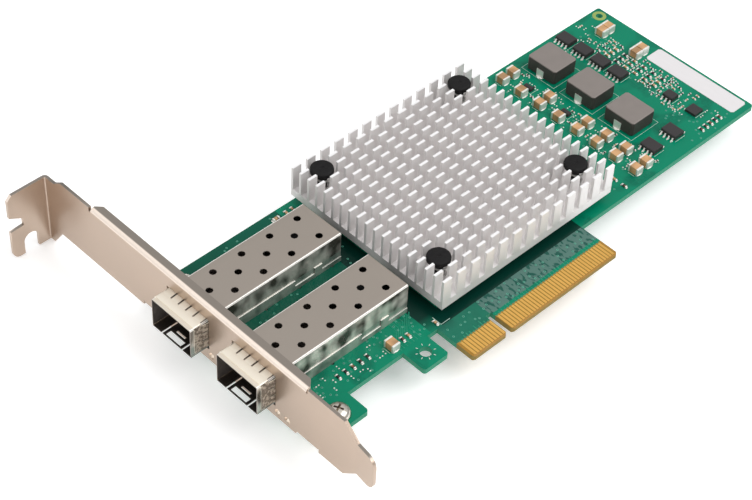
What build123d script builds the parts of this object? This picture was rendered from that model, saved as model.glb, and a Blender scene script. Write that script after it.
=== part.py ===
from build123d import *
from math import hypot, sqrt
import os

os.makedirs("parts", exist_ok=True)

# Two-port network interface card with a full-height bracket.
# X runs along the card, away from the bracket. Y runs from the edge tongue to the card's top edge.
# Z is up from the component face, which is at zero. The origin is the middle of the key notch,
# on the tongue's bottom edge and in the component face.

# Driving sizes of the circuit board
board_thickness = 1.57
board_start = -56.0
board_end = 110.2
board_top = 68.9
board_shoulder = 12.4
board_corner = 0.8
foot_end = -42.6
foot_bottom = 5.1
tab_start = -24.3
tab_end = -16.1
tab_bottom = 5.0
tongue_start = -12.6
tongue_end = 39.6
tongue_bevel_depth = 0.25
tongue_bevel_length = 0.5
tongue_corner = 0.6
key_width = 1.9
key_depth = 7.5
retention_x = -19.9
retention_y = 9.1
retention_hole = 3.2
corner_hole = 1.4
corner_hole_inset = 2.7
hole_side_count = 8

# Driving sizes of the edge contacts
contact_pitch = 1.0
contact_width = 0.7
contact_inner = 5.55
contact_height = 0.05
first_contact = 1.5
near_contacts = 11
far_contacts = 38

# Driving sizes of the bracket
bracket_face = -57.5
sheet = 0.86
fold_radius = 0.4
strip_low = -4.19
strip_width = 18.42
bracket_top = 107.65
bracket_length = 120.02
tab_length = 11.7
tab_width = 21.55
tab_step = 2.1
tab_corner = 1.4
tab_finger_radius = 2.2
neck_start = 100.4
neck_length = 3.0
flare_start = 101.6
flare_length = 3.6
tail_width = 10.2
tail_rise = 3.9
tail_length = 6.17
tail_slope = 4.3
tail_lean = 0.9
tail_radius = 2.6
flange_width = 3.0
flange_start = 10.8
flange_end = 88.6
flange_corner = 1.6
fold_relief = 0.6
screw_notch = 4.4
screw_notch_x = 5.9
screw_notch_depth = 5.95
side_notch_depth = 4.0
side_notch_low = 0.1
side_notch_high = 5.0
side_notch_taper_low = 0.3
side_notch_taper_high = 2.3
ear_width = 6.6
ear_shift = 1.0
ear_end = -44.2
ear_flat = 2.8

# Driving sizes of the bracket screws
screw_x = -48.6
screw_low_y = 9.1
screw_high_y = 64.2
screw_shank = 2.9
screw_shank_end = -3.7
screw_head = 6.2
screw_head_height = 2.3
screw_head_crown = 1.0
screw_hole = 3.3
ear_hole_gap = 0.05
head_side_count = 20

# Driving sizes of the two ports
port_low_y = 28.6
port_pitch = 23.5
cage_width = 14.2
cage_height = 9.3
cage_front = -62.7
cage_rear = -14.1
cage_sheet = 0.25
cage_fold = 0.5
cover_bottom = 0.45
pan_start = -55.5
pan_flap = 3.3
pan_flap_end = -29.5
pan_low_flap = 1.4
pan_catch_start = -23.1
pan_catch_end = -20.5
port_gap = 0.5
vent_hole = 2.0
vent_pitch_x = 9.14
vent_pitch_y = 4.0
vent_centre = -34.7
vent_count = 4
pin_width = 0.6
pin_reach = 0.7
pin_hole = 1.1
pin_first = -50.0
pin_pitch = 11.0
pin_count = 4
pin_hole_side_count = 6
latch_window = 5.4
latch_window_length = 1.6
latch_bar = 0.4
latch_tongue = 6.9
latch_slit = 0.5
latch_slit_length = 6.0
latch_catch = 3.2
latch_catch_length = 0.6
latch_catch_gap = 0.6

# Driving sizes of the spring-finger collars
collar_sheet = 0.2
collar_start = -61.6
collar_end = -55.9
collar_bottom = 0.9
finger_start = -59.3
finger_slot = 0.45
finger_bow = 0.22
top_fingers = 5
side_fingers = 3

# Driving sizes of the host connectors
connector_start = -24.6
connector_end = -15.4
connector_width = 12.0
connector_height = 5.4
connector_slot_width = 9.6
connector_slot_height = 1.9
connector_slot_depth = 6.0
connector_slot_level = 3.1
connector_chamfer = 0.8
floor_opening = 12.6
floor_opening_end = 1.0

# Driving sizes of the heat sink and what holds it
sink_x = 21.7
sink_y = 41.5
sink_length = 62.0
sink_width = 54.2
sink_bottom = 2.6
sink_base = 2.3
sink_top = 12.1
fin_columns = 13
fin_rows = 19
fin_length = 2.8
fin_thickness = 0.75
push_pin_x = 24.9
push_pin_y = 20.8
push_pin_shift = 1.5
push_pin_clearing = 3.4
push_head = 6.3
push_head_height = 1.3
push_head_edge = 0.5
push_head_drop = 0.5
push_shank = 2.6
push_shank_depth = 1.4
push_hole = 3.2
push_base_gap = 0.1
push_barb = 3.8
push_barb_gap = 0.1
push_tip = 1.8
push_tip_reach = 2.3
push_split = 0.6
spring_wire = 0.5
spring_coil = 4.6
spring_step_count = 16
spring_steps_a_turn = 8

# Driving sizes of the controller chip
chip_substrate = 31.0
chip_substrate_height = 1.1
chip_lid = 27.0
thermal_pad_height = 0.2
pad_inset = 1.0

# Driving sizes of the power inductors
inductor_x = 79.7
inductor_y = 31.3
inductor_pitch = 14.1
inductor_length = 9.2
inductor_width = 10.2
inductor_height = 4.5
inductor_corner = 0.6
inductor_count = 3
terminal_sheet = 0.2
terminal_width = 2.4
terminal_height = 2.4
terminal_foot = 2.0

# Driving sizes of the chips with leads
chip_length = 4.9
chip_width = 3.9
chip_top = 1.6
chip_standoff = 0.15
chip_draft = 0.25
lead_pitch = 1.27
lead_width = 0.42
lead_sheet = 0.2
lead_foot = 0.6
leads_per_side = 4
regulator_length = 3.3
regulator_width = 3.0
regulator_leads = 3
lead_reach = 1.05
transistor_x = 91.9
transistor_y = 45.7
transistor_pitch = 6.4
transistor_count = 4
logic_y = 19.9
logic_start_x = 75.9
logic_pitch = 8.7
regulator_x = 95.4
regulator_y = 29.7
flat_chip_x = 96.0
flat_chip_y = 21.8
flat_chip_size = 3.5
flat_chip_height = 0.85

# Driving sizes of the capacitors and diodes
capacitor_x = 65.8
capacitor_gap = 4.1
capacitor_y = 16.8
capacitor_pitch = 6.87
capacitor_length = 3.2
capacitor_width = 2.5
capacitor_height = 2.2
capacitor_end = 0.55
capacitor_rim = 0.04
output_x = 101.9
output_y = 47.8
output_pitch_x = 2.6
output_pitch_y = 12.6
tab_capacitor_x = -25.0
tab_capacitor_y = 15.5
second_column = "CCCCDCDC"
diode_shift = 0.9
diode_length = 2.7
diode_width = 1.5
diode_height = 1.1
diode_edge = 0.28

# Driving sizes of the small chip parts
small_length = 1.6
small_width = 0.8
small_height = 0.55
cluster_x = 95.9
cluster_y = 36.0
cluster_pitch_x = 1.9
cluster_pitch_y = 3.4
cluster_column_count = 3
cluster_row_count = 6
end_row_x = 91.7
end_row_y = 15.6
end_row_pitch = 1.9
end_row_count = 5
foot_row_x = -41.0
foot_row_y = 17.2
foot_row_pitch = 2.4
foot_row_count = 5
tab_pair_x = -21.4
tab_pair_y = 15.5
tab_pair_pitch = 2.0
pair_beside_columns_x = 59.3
pair_beside_columns_y = 15.0
pair_beside_columns_pitch = 3.4
lone_low_x = -11.6
lone_low_y = 14.0
lone_high_x = -11.7
lone_high_y = 58.0

# Driving sizes of the label and the indicator lamps
label_x = 106.3
label_y = 29.7
label_length = 31.0
label_width = 6.1
label_thickness = 0.1
label_corner = 0.6
lamp_first = 1.3
lamp_pitch = 3.3
lamp_hole = 2.0
lamp_length = 2.2
lamp_depth = 1.8
lamp_height = 1.2
lamp_gap = 0.2

# Places worked out from the driving sizes
solder_face = -board_thickness
strip_high = strip_low + strip_width
tail_tip = bracket_top - bracket_length
tail_start = tail_tip + tail_length
tab_high = strip_high - tab_step
tab_low = tab_high - tab_width
tab_edge = bracket_face - tab_length
outer_fold = fold_radius + sheet
port_rows = (port_low_y, port_low_y + port_pitch)
cage_half = cage_width / 2
sink_base_top = sink_bottom + sink_base
head_top = sink_top - push_head_drop
head_bottom = head_top - push_head_height
screw_places = [(screw_x, screw_low_y), (screw_x, screw_high_y)]
push_pin_places = [(sink_x + i * push_pin_x, sink_y + push_pin_shift + j * push_pin_y)
                   for i in (-1, 1) for j in (-1, 1)]
pan_pin_places = [(pin_first + i * pin_pitch, y + side * (cage_half + cage_sheet / 2))
                  for y in port_rows for side in (-1, 1) for i in range(pin_count)]
near_places = [-first_contact - i * contact_pitch for i in range(near_contacts)]
far_places = [first_contact + i * contact_pitch for i in range(far_contacts)]

# Circuit board: the outline with its foot, tab and tongue, then the key notch, holes and bevel
with BuildPart() as circuit_board:
    with BuildSketch(Plane.XY.offset(solder_face)):
        with BuildLine():
            Polyline(
                (board_start, board_top), (board_end, board_top), (board_end, board_shoulder),
                (tongue_end, board_shoulder), (tongue_end, 0), (tongue_start, 0),
                (tongue_start, board_shoulder), (tab_end, board_shoulder), (tab_end, tab_bottom),
                (tab_start, tab_bottom), (tab_start, board_shoulder), (foot_end, board_shoulder),
                (foot_end, foot_bottom), (board_start, foot_bottom), close=True)
        make_face()
        fillet(vertices().filter_by_position(Axis.Y, tab_bottom, foot_bottom), board_corner)
        fillet(vertices().sort_by(Axis.X)[-2:], board_corner)
        with Locations((0, key_depth / 2)):
            Rectangle(key_width, key_depth, mode=Mode.SUBTRACT)
        chamfer(vertices().group_by(Axis.Y)[0], tongue_corner)
    extrude(amount=board_thickness)
    with BuildSketch(Plane.XY):
        with Locations((retention_x, retention_y)):
            Circle(retention_hole / 2)
        with Locations((board_end - corner_hole_inset, board_top - corner_hole_inset)):
            Circle(corner_hole / 2)
        with Locations(*screw_places):
            RegularPolygon(screw_hole / 2, hole_side_count)
        with Locations(*push_pin_places):
            RegularPolygon(push_hole / 2, hole_side_count)
        with Locations(*pan_pin_places):
            RegularPolygon(pin_hole / 2, pin_hole_side_count)
    extrude(amount=-board_thickness, mode=Mode.SUBTRACT)
    with BuildSketch(Plane.YZ.offset(tongue_start)):
        with BuildLine():
            Polyline((0, 0), (tongue_bevel_length, 0), (0, -tongue_bevel_depth), close=True)
        make_face()
        with BuildLine():
            Polyline((0, solder_face), (tongue_bevel_length, solder_face),
                     (0, solder_face + tongue_bevel_depth), close=True)
        make_face()
    extrude(amount=tongue_end - tongue_start, mode=Mode.SUBTRACT)
circuit_board.part.label = "circuit_board"
export_step(circuit_board.part, "parts/circuit_board.step")

# Edge contacts: a thin pad for each line, on both faces of the tongue
contact_length = contact_inner - tongue_bevel_length
with BuildPart() as edge_contacts:
    for level, way in ((0, 1), (solder_face, -1)):
        with BuildSketch(Plane.XY.offset(level)):
            with Locations(*[(x, contact_inner - contact_length / 2) for x in near_places + far_places]):
                Rectangle(contact_width, contact_length)
        extrude(amount=way * contact_height)
edge_contacts.part.label = "edge_contacts"
export_step(edge_contacts.part, "parts/edge_contacts.step")

# Bracket: one sheet, seen from its edge, with the tab folded over and the tail leaning outwards
with BuildPart() as bracket:
    with BuildSketch(Plane.XY.offset(tab_low)):
        with BuildLine():
            inner_side = FilletPolyline(
                (bracket_face - tail_lean, tail_tip - sheet), (bracket_face, tail_start),
                (bracket_face, bracket_top - sheet), (tab_edge, bracket_top - sheet),
                radius=fold_radius)
            offset(inner_side, amount=sheet, side=Side.RIGHT)
        make_face()
    extrude(amount=strip_high - tab_low)

    # The same sheet seen from the front: tail, strip, neck and the flare below the tab
    with BuildSketch(Plane.YZ.offset(tab_edge - sheet)):
        with BuildLine():
            Polyline(
                (tail_tip, strip_low + tail_rise), (tail_tip, strip_low + tail_rise + tail_width),
                (tail_start, strip_low + tail_rise + tail_width), (tail_start + tail_slope, strip_high),
                (neck_start, strip_high), (neck_start + neck_length, tab_high),
                (bracket_top, tab_high), (bracket_top, tab_low), (flare_start + flare_length, tab_low),
                (flare_start, strip_low), (tail_start + tail_slope, strip_low),
                (tail_start, strip_low + tail_rise), close=True)
        make_face()
        fillet(vertices().sort_by(Axis.X)[0:2], tail_radius)
    extrude(amount=tab_length + 3 * sheet, mode=Mode.INTERSECT)

    # Openings for the two ports and the indicator lamps
    with BuildSketch(Plane.YZ.offset(bracket_face)):
        with Locations(*[(y, cage_height / 2) for y in port_rows]):
            Rectangle(cage_width + 2 * port_gap, cage_height + 2 * port_gap)
        for y in port_rows:
            first_lamp = y - cage_half - lamp_first
            with Locations((first_lamp, solder_face - lamp_height / 2),
                           (first_lamp - lamp_pitch, solder_face - lamp_height / 2)):
                RegularPolygon(lamp_hole / 2, hole_side_count)
    extrude(amount=sheet, mode=Mode.SUBTRACT)

    # Notches of the tab, for the screw and for the guide at its edge
    with BuildSketch(Plane.XZ.offset(-bracket_top)):
        notch_x = bracket_face - screw_notch_x
        notch_centre = tab_low + screw_notch_depth - screw_notch / 2
        with Locations((notch_x, notch_centre)):
            Circle(screw_notch / 2)
        with Locations((notch_x, (notch_centre + tab_low) / 2)):
            Rectangle(screw_notch, notch_centre - tab_low)
        with BuildLine():
            Polyline(
                (tab_edge, side_notch_low), (tab_edge + side_notch_depth, side_notch_taper_low),
                (tab_edge + side_notch_depth, side_notch_high - side_notch_taper_high),
                (tab_edge, side_notch_high), close=True)
        make_face()
    extrude(amount=sheet, mode=Mode.SUBTRACT)
    outer_corners = edges().filter_by(Axis.Y).group_by(Axis.X)[0].sort_by(Axis.Z)
    fillet(outer_corners[0], tab_finger_radius)
    chamfer(outer_corners[-1], tab_corner)

    # Flange folded back along the strip's upper edge, with a relief at each end
    with BuildSketch(Plane.YZ.offset(bracket_face)):
        with Locations(((flange_start + flange_end) / 2, strip_high - outer_fold / 2)):
            Rectangle(flange_end - flange_start + 2 * fold_relief, outer_fold)
    extrude(amount=sheet, mode=Mode.SUBTRACT)
    with BuildSketch(Plane.XZ.offset(-flange_start)):
        with BuildLine():
            flange_side = FilletPolyline(
                (bracket_face, strip_high - 2 * outer_fold), (bracket_face, strip_high),
                (bracket_face + flange_width, strip_high), radius=outer_fold)
            offset(flange_side, amount=sheet, side=Side.RIGHT)
        make_face()
    extrude(amount=flange_start - flange_end)
    flange_corners = edges().filter_by(Axis.Z).group_by(Axis.X)[-1]
    chamfer(flange_corners, flange_corner)

    # Two ears folded in from the lower edge and stepped up to the board's solder face
    with BuildSketch(Plane.YZ.offset(bracket_face)):
        with Locations(*[(y + ear_shift, strip_low + outer_fold / 2) for x, y in screw_places]):
            Rectangle(ear_width + 2 * fold_relief, outer_fold)
    extrude(amount=sheet, mode=Mode.SUBTRACT)
    ear_low = solder_face - sheet
    ear_rise = ear_low - strip_low
    for x, y in screw_places:
        with BuildSketch(Plane.XZ.offset(-(y + ear_shift - ear_width / 2))):
            with BuildLine():
                ear_side = FilletPolyline(
                    (bracket_face, strip_low + 2 * outer_fold), (bracket_face, strip_low),
                    (bracket_face + ear_flat, strip_low),
                    (bracket_face + ear_flat + ear_rise, ear_low), (ear_end, ear_low),
                    radius=outer_fold)
                offset(ear_side, amount=sheet, side=Side.LEFT)
            make_face()
        extrude(amount=-ear_width)
    with BuildSketch(Plane.XY.offset(solder_face)):
        with Locations(*screw_places):
            RegularPolygon(screw_shank / 2 + ear_hole_gap, hole_side_count)
    extrude(amount=-sheet, mode=Mode.SUBTRACT)
    ear_corners = edges().filter_by(Axis.Z).group_by(Axis.X)[-1]
    chamfer(ear_corners, tab_corner)
bracket.part.label = "bracket"
export_step(bracket.part, "parts/bracket.step")

# Bracket screws: pan heads on the component face, shanks through the board into the ears
with BuildPart() as bracket_screws:
    with BuildSketch(Plane.XY):
        with Locations(*screw_places):
            RegularPolygon(screw_head / 2, head_side_count)
    extrude(amount=screw_head_height)
    chamfer(edges().group_by(Axis.Z)[-1], screw_head_crown)
    with BuildSketch(Plane.XY):
        with Locations(*screw_places):
            RegularPolygon(screw_shank / 2, hole_side_count)
    extrude(amount=screw_shank_end)
bracket_screws.part.label = "bracket_screws"
export_step(bracket_screws.part, "parts/bracket_screws.step")

for number, port_y in enumerate(port_rows, start=1):
    low_side = port_y - cage_half
    high_side = port_y + cage_half

    # Cage cover: top and both walls folded from one sheet, closed behind, with vent holes on top
    with BuildPart() as cage_cover:
        with BuildSketch(Plane.YZ.offset(cage_front)):
            with BuildLine():
                cover_side = FilletPolyline(
                    (low_side, cover_bottom), (low_side, cage_height), (high_side, cage_height),
                    (high_side, cover_bottom), radius=cage_fold)
                offset(cover_side, amount=cage_sheet, side=Side.RIGHT)
            make_face()
        extrude(amount=cage_rear - cage_front)
        with BuildSketch(Plane.YZ.offset(cage_rear)):
            with Locations((port_y, (cover_bottom + cage_height - cage_sheet) / 2)):
                Rectangle(cage_width - cage_sheet, cage_height - cover_bottom - cage_sheet)
        extrude(amount=-cage_sheet)
        with BuildSketch(Plane.XY.offset(cage_height)):
            for row, shift in ((-1, 1), (0, -1), (1, 1)):
                with Locations((vent_centre + shift * vent_pitch_x / 4, port_y + row * vent_pitch_y)):
                    with GridLocations(vent_pitch_x, vent_pitch_y, vent_count, 1):
                        RegularPolygon(vent_hole / 2, hole_side_count)
        extrude(amount=-cage_sheet, mode=Mode.SUBTRACT)
    cage_cover.part.label = f"cage_cover_{number}"
    export_step(cage_cover.part, f"parts/cage_cover_{number}.step")

    # Cage pan: the floor with its outside flaps, pins through the board and the latch tongue
    with BuildPart() as cage_pan:
        with BuildSketch(Plane.YZ.offset(pan_start)):
            with BuildLine():
                pan_side = Polyline(
                    (low_side - cage_sheet, pan_flap), (low_side - cage_sheet, 0),
                    (high_side + cage_sheet, 0), (high_side + cage_sheet, pan_flap))
                offset(pan_side, amount=cage_sheet, side=Side.LEFT, kind=Kind.INTERSECTION)
            make_face()
        extrude(amount=cage_rear - pan_start)
        with BuildSketch(Plane.XY):
            with Locations(((cage_front + pan_start) / 2, port_y)):
                Rectangle(pan_start - cage_front, cage_width)
        extrude(amount=cage_sheet)
        with BuildSketch(Plane.XY):
            with Locations(((connector_start + cage_rear) / 2, port_y)):
                Rectangle(cage_rear - connector_start + 2 * floor_opening_end, floor_opening)
            with Locations((cage_front + latch_bar + latch_window_length / 2, port_y)):
                Rectangle(latch_window_length, latch_window)
            catch_start = cage_front + latch_bar + latch_window_length + latch_catch_gap
            with Locations((catch_start + latch_catch_length / 2, port_y)):
                Rectangle(latch_catch_length, latch_catch)
            slit_y = (latch_tongue + latch_slit) / 2
            with Locations((cage_front + latch_slit_length / 2, port_y - slit_y),
                           (cage_front + latch_slit_length / 2, port_y + slit_y)):
                Rectangle(latch_slit_length, latch_slit)
        extrude(amount=cage_sheet, mode=Mode.SUBTRACT)
        with BuildSketch(Plane.XZ.offset(-(low_side - cage_sheet))):
            with BuildLine():
                Polyline(
                    (pan_flap_end, pan_flap), (pan_flap_end, pan_low_flap),
                    (pan_catch_start, pan_low_flap), (pan_catch_start, pan_flap), close=True)
            make_face()
            with BuildLine():
                Polyline(
                    (pan_catch_end, pan_flap), (pan_catch_end, pan_low_flap),
                    (cage_rear, pan_low_flap), (cage_rear, pan_flap), close=True)
            make_face()
        extrude(amount=-(cage_width + 2 * cage_sheet), mode=Mode.SUBTRACT)
        with BuildSketch(Plane.XY.offset(pan_low_flap / 2)):
            with Locations(*[place for place in pan_pin_places if abs(place[1] - port_y) < cage_width]):
                Rectangle(pin_width, cage_sheet)
        extrude(amount=solder_face - pin_reach - pan_low_flap / 2)
    cage_pan.part.label = f"cage_pan_{number}"
    export_step(cage_pan.part, f"parts/cage_pan_{number}.step")

    # Spring-finger collar: a band round the nose, with bowed fingers that reach through the bracket
    with BuildPart() as collar:
        with BuildSketch(Plane.YZ.offset(collar_start)):
            with BuildLine():
                collar_side = FilletPolyline(
                    (low_side, collar_bottom), (low_side, cage_height), (high_side, cage_height),
                    (high_side, collar_bottom), radius=cage_fold)
                offset(collar_side, amount=collar_sheet, side=Side.LEFT)
            make_face()
        extrude(amount=finger_start - collar_start)
        with BuildSketch(Plane.XZ.offset(-(low_side + cage_fold))):
            with BuildLine():
                top_bow = Polyline(
                    (finger_start - collar_sheet, cage_height), (finger_start, cage_height),
                    (bracket_face, cage_height + finger_bow), (collar_end, cage_height))
                offset(top_bow, amount=collar_sheet, side=Side.LEFT, kind=Kind.INTERSECTION)
            make_face()
        extrude(amount=-(cage_width - 2 * cage_fold))
        for wall, way, turn in ((low_side, -1, Side.RIGHT), (high_side, 1, Side.LEFT)):
            with BuildSketch(Plane.XY.offset(collar_bottom)):
                with BuildLine():
                    side_bow = Polyline(
                        (finger_start - collar_sheet, wall), (finger_start, wall),
                        (bracket_face, wall + way * finger_bow), (collar_end, wall))
                    offset(side_bow, amount=collar_sheet, side=turn, kind=Kind.INTERSECTION)
                make_face()
            extrude(amount=cage_height - cage_fold - collar_bottom)
        slot_length = collar_end - finger_start + collar_sheet
        slot_middle = finger_start + slot_length / 2
        top_pitch = (cage_width - 2 * cage_fold) / top_fingers
        side_pitch = (cage_height - cage_fold - collar_bottom) / side_fingers
        with BuildSketch(Plane.XY.offset(cage_height)):
            with Locations((slot_middle, port_y)):
                with GridLocations(1, top_pitch, 1, top_fingers - 1):
                    Rectangle(slot_length, finger_slot)
        extrude(amount=2 * (collar_sheet + finger_bow), mode=Mode.SUBTRACT)
        with BuildSketch(Plane.XZ.offset(-(low_side - 2 * collar_sheet - finger_bow))):
            with Locations((slot_middle, (cage_height - cage_fold + collar_bottom) / 2)):
                with GridLocations(1, side_pitch, 1, side_fingers - 1):
                    Rectangle(slot_length, finger_slot)
        extrude(amount=-(cage_width + 4 * collar_sheet + 2 * finger_bow), mode=Mode.SUBTRACT)
    collar.part.label = f"spring_collar_{number}"
    export_step(collar.part, f"parts/spring_collar_{number}.step")

    # Host connector in the back of the cage, with a slot for the edge of a transceiver's board
    with BuildPart() as connector:
        with BuildSketch(Plane.XY):
            with Locations(((connector_start + connector_end) / 2, port_y)):
                Rectangle(connector_end - connector_start, connector_width)
        extrude(amount=connector_height)
        chamfer(edges().filter_by(Axis.Y).group_by(Axis.Z)[-1].sort_by(Axis.X)[0], connector_chamfer)
        with BuildSketch(Plane.YZ.offset(connector_start)):
            with Locations((port_y, connector_slot_level)):
                Rectangle(connector_slot_width, connector_slot_height)
        extrude(amount=connector_slot_depth, mode=Mode.SUBTRACT)
    connector.part.label = f"host_connector_{number}"
    export_step(connector.part, f"parts/host_connector_{number}.step")

# Heat sink: a base plate with a field of thin upright fins, left out round the push pins
first_column = sink_x - (sink_length - fin_length) / 2
first_row = sink_y - (sink_width - fin_thickness) / 2
column_pitch = (sink_length - fin_length) / (fin_columns - 1)
row_pitch = (sink_width - fin_thickness) / (fin_rows - 1)


def clear_of_pins(x, y):
    gaps = [hypot(max(abs(x - px) - fin_length / 2, 0), max(abs(y - py) - fin_thickness / 2, 0))
            for px, py in push_pin_places]
    return min(gaps) > push_pin_clearing


fin_grid = [(first_column + i * column_pitch, first_row + j * row_pitch)
            for i in range(fin_columns) for j in range(fin_rows)]
fin_places = [place for place in fin_grid if clear_of_pins(*place)]

with BuildPart() as heat_sink:
    with BuildSketch(Plane.XY.offset(sink_bottom)):
        with Locations((sink_x, sink_y)):
            Rectangle(sink_length, sink_width)
        with Locations(*push_pin_places):
            RegularPolygon(push_hole / 2 + push_base_gap, hole_side_count, mode=Mode.SUBTRACT)
    extrude(amount=sink_base)
    with BuildSketch(Plane.XY.offset(sink_base_top)):
        with Locations(*fin_places):
            Rectangle(fin_length, fin_thickness)
    extrude(amount=sink_top - sink_base_top)
heat_sink.part.label = "heat_sink"
export_step(heat_sink.part, "parts/heat_sink.step")

# Push pins: a flat round head, and a flat-sided shank through base and board to two barbed legs
barb_level = solder_face - push_barb_gap
tip_level = solder_face - push_tip_reach
with BuildPart() as push_pins:
    with BuildSketch(Plane.XY.offset(head_bottom)):
        with Locations(*push_pin_places):
            RegularPolygon(push_head / 2, head_side_count)
    extrude(amount=push_head_height)
    chamfer(edges().group_by(Axis.Z)[-1], push_head_edge)
    for x, y in push_pin_places:
        with BuildSketch(Plane(origin=(x, y + push_shank_depth / 2, 0), x_dir=(1, 0, 0), z_dir=(0, -1, 0))):
            with BuildLine():
                Polyline(
                    (push_split / 2, solder_face), (push_split / 2, tip_level), (push_tip / 2, tip_level),
                    (push_barb / 2, barb_level - push_head_edge), (push_barb / 2, barb_level),
                    (push_shank / 2, barb_level), (push_shank / 2, head_bottom),
                    (-push_shank / 2, head_bottom), (-push_shank / 2, barb_level),
                    (-push_barb / 2, barb_level), (-push_barb / 2, barb_level - push_head_edge),
                    (-push_tip / 2, tip_level), (-push_split / 2, tip_level),
                    (-push_split / 2, solder_face), close=True)
            make_face()
        extrude(amount=push_shank_depth)
push_pins.part.label = "push_pins"
export_step(push_pins.part, "parts/push_pins.step")

# Coil springs between the heads and the heat sink's base, each turn in straight steps
coil_radius = (spring_coil - spring_wire) / 2
coil_height = head_bottom - sink_base_top - spring_wire / 2 - spring_wire / sqrt(2)
with BuildPart() as push_pin_springs:
    for x, y in push_pin_places:
        with BuildLine():
            coil = Polyline(*[
                Vector(x, y, sink_base_top + spring_wire / 2 + coil_height * i / spring_step_count)
                + Vector(coil_radius, 0, 0).rotate(Axis.Z, 360 * i / spring_steps_a_turn)
                for i in range(spring_step_count + 1)])
        with BuildSketch(Plane(origin=coil @ 0, x_dir=(0, 0, 1), z_dir=coil % 0)):
            Rectangle(spring_wire, spring_wire)
        sweep(path=coil, transition=Transition.RIGHT)
push_pin_springs.part.label = "push_pin_springs"
export_step(push_pin_springs.part, "parts/push_pin_springs.step")

# Controller chip under the heat sink: substrate, lid and the pad that fills the gap above it
with BuildPart() as chip_base:
    with BuildSketch(Plane.XY):
        with Locations((sink_x, sink_y)):
            Rectangle(chip_substrate, chip_substrate)
    extrude(amount=chip_substrate_height)
chip_base.part.label = "controller_chip_substrate"
export_step(chip_base.part, "parts/controller_chip_substrate.step")

with BuildPart() as chip_cap:
    with BuildSketch(Plane.XY.offset(chip_substrate_height)):
        with Locations((sink_x, sink_y)):
            Rectangle(chip_lid, chip_lid)
    extrude(amount=sink_bottom - thermal_pad_height - chip_substrate_height)
chip_cap.part.label = "controller_chip_lid"
export_step(chip_cap.part, "parts/controller_chip_lid.step")

with BuildPart() as thermal_pad:
    with BuildSketch(Plane.XY.offset(sink_bottom - thermal_pad_height)):
        with Locations((sink_x, sink_y)):
            Rectangle(chip_lid - 2 * pad_inset, chip_lid - 2 * pad_inset)
    extrude(amount=thermal_pad_height)
thermal_pad.part.label = "thermal_pad"
export_step(thermal_pad.part, "parts/thermal_pad.step")

# Power inductors: moulded blocks with cut corners, each on two folded terminals
for number in range(inductor_count):
    centre_y = inductor_y + number * inductor_pitch
    with BuildPart() as inductor:
        with BuildSketch(Plane.XY.offset(terminal_sheet)):
            with Locations((inductor_x, centre_y)):
                Rectangle(inductor_length, inductor_width)
            chamfer(vertices(), inductor_corner)
        extrude(amount=inductor_height - terminal_sheet)
        chamfer(edges().group_by(Axis.Z)[-1], terminal_sheet)
    inductor.part.label = f"power_inductor_{number + 1}"
    export_step(inductor.part, f"parts/power_inductor_{number + 1}.step")

with BuildPart() as inductor_terminals:
    for number in range(inductor_count):
        centre_y = inductor_y + number * inductor_pitch
        for way, turn in ((-1, Side.RIGHT), (1, Side.LEFT)):
            wall = inductor_x + way * inductor_length / 2
            with BuildSketch(Plane.XZ.offset(-(centre_y - terminal_width / 2))):
                with BuildLine():
                    strap = Polyline(
                        (wall - way * terminal_foot, 0), (wall + way * terminal_sheet, 0),
                        (wall + way * terminal_sheet, terminal_height))
                    offset(strap, amount=terminal_sheet, side=turn, kind=Kind.INTERSECTION)
                make_face()
            extrude(amount=-terminal_width)
inductor_terminals.part.label = "inductor_terminals"
export_step(inductor_terminals.part, "parts/inductor_terminals.step")


def chip_body(width, length):
    """Moulded body of a leaded chip, with its drafted top edges, at the origin."""
    with BuildPart() as body:
        with BuildSketch(Plane.XY.offset(chip_standoff)):
            Rectangle(width, length)
        extrude(amount=chip_top - chip_standoff)
        chamfer(edges().filter_by(Axis.Y).group_by(Axis.Z)[-1], chip_draft)
    return body.part


def chip_leads(width, per_side):
    """Gull-wing leads that stand beside a chip's body, at the origin."""
    middle = (chip_top + chip_standoff - lead_sheet) / 2
    lead_end = width / 2 + lead_reach
    with BuildPart() as leads:
        for way, turn in ((-1, Side.RIGHT), (1, Side.LEFT)):
            for place in range(per_side):
                low_edge = (place - (per_side - 1) / 2) * lead_pitch - lead_width / 2
                with BuildSketch(Plane.XZ.offset(-low_edge)):
                    with BuildLine():
                        path = Polyline(
                            (way * width / 2, middle), (way * (lead_end - lead_foot), 0),
                            (way * lead_end, 0))
                        offset(path, amount=lead_sheet, side=turn, kind=Kind.INTERSECTION)
                    make_face()
                extrude(amount=-lead_width)
    return leads.part


one_body = chip_body(chip_width, chip_length)
one_lead_set = chip_leads(chip_width, leads_per_side)
transistor_places = [(transistor_x, transistor_y + i * transistor_pitch) for i in range(transistor_count)]
logic_places = [(logic_start_x, logic_y), (logic_start_x + logic_pitch, logic_y)]
regulator_places = [(regulator_x, regulator_y)]

# Four switching transistors in a row
with BuildPart() as transistors:
    with Locations(*transistor_places):
        add(one_body)
transistors.part.label = "transistors"
export_step(transistors.part, "parts/transistors.step")

with BuildPart() as transistor_leads:
    with Locations(*transistor_places):
        add(one_lead_set)
transistor_leads.part.label = "transistor_leads"
export_step(transistor_leads.part, "parts/transistor_leads.step")

# Two memory and logic chips in the same package, and a regulator in a smaller one
with BuildPart() as logic_chips:
    with Locations(*logic_places):
        add(one_body)
    with Locations(*regulator_places):
        add(chip_body(regulator_width, regulator_length))
logic_chips.part.label = "logic_chips"
export_step(logic_chips.part, "parts/logic_chips.step")

with BuildPart() as logic_chip_leads:
    with Locations(*logic_places):
        add(one_lead_set)
    with Locations(*regulator_places):
        add(chip_leads(regulator_width, regulator_leads))
logic_chip_leads.part.label = "logic_chip_leads"
export_step(logic_chip_leads.part, "parts/logic_chip_leads.step")

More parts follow.
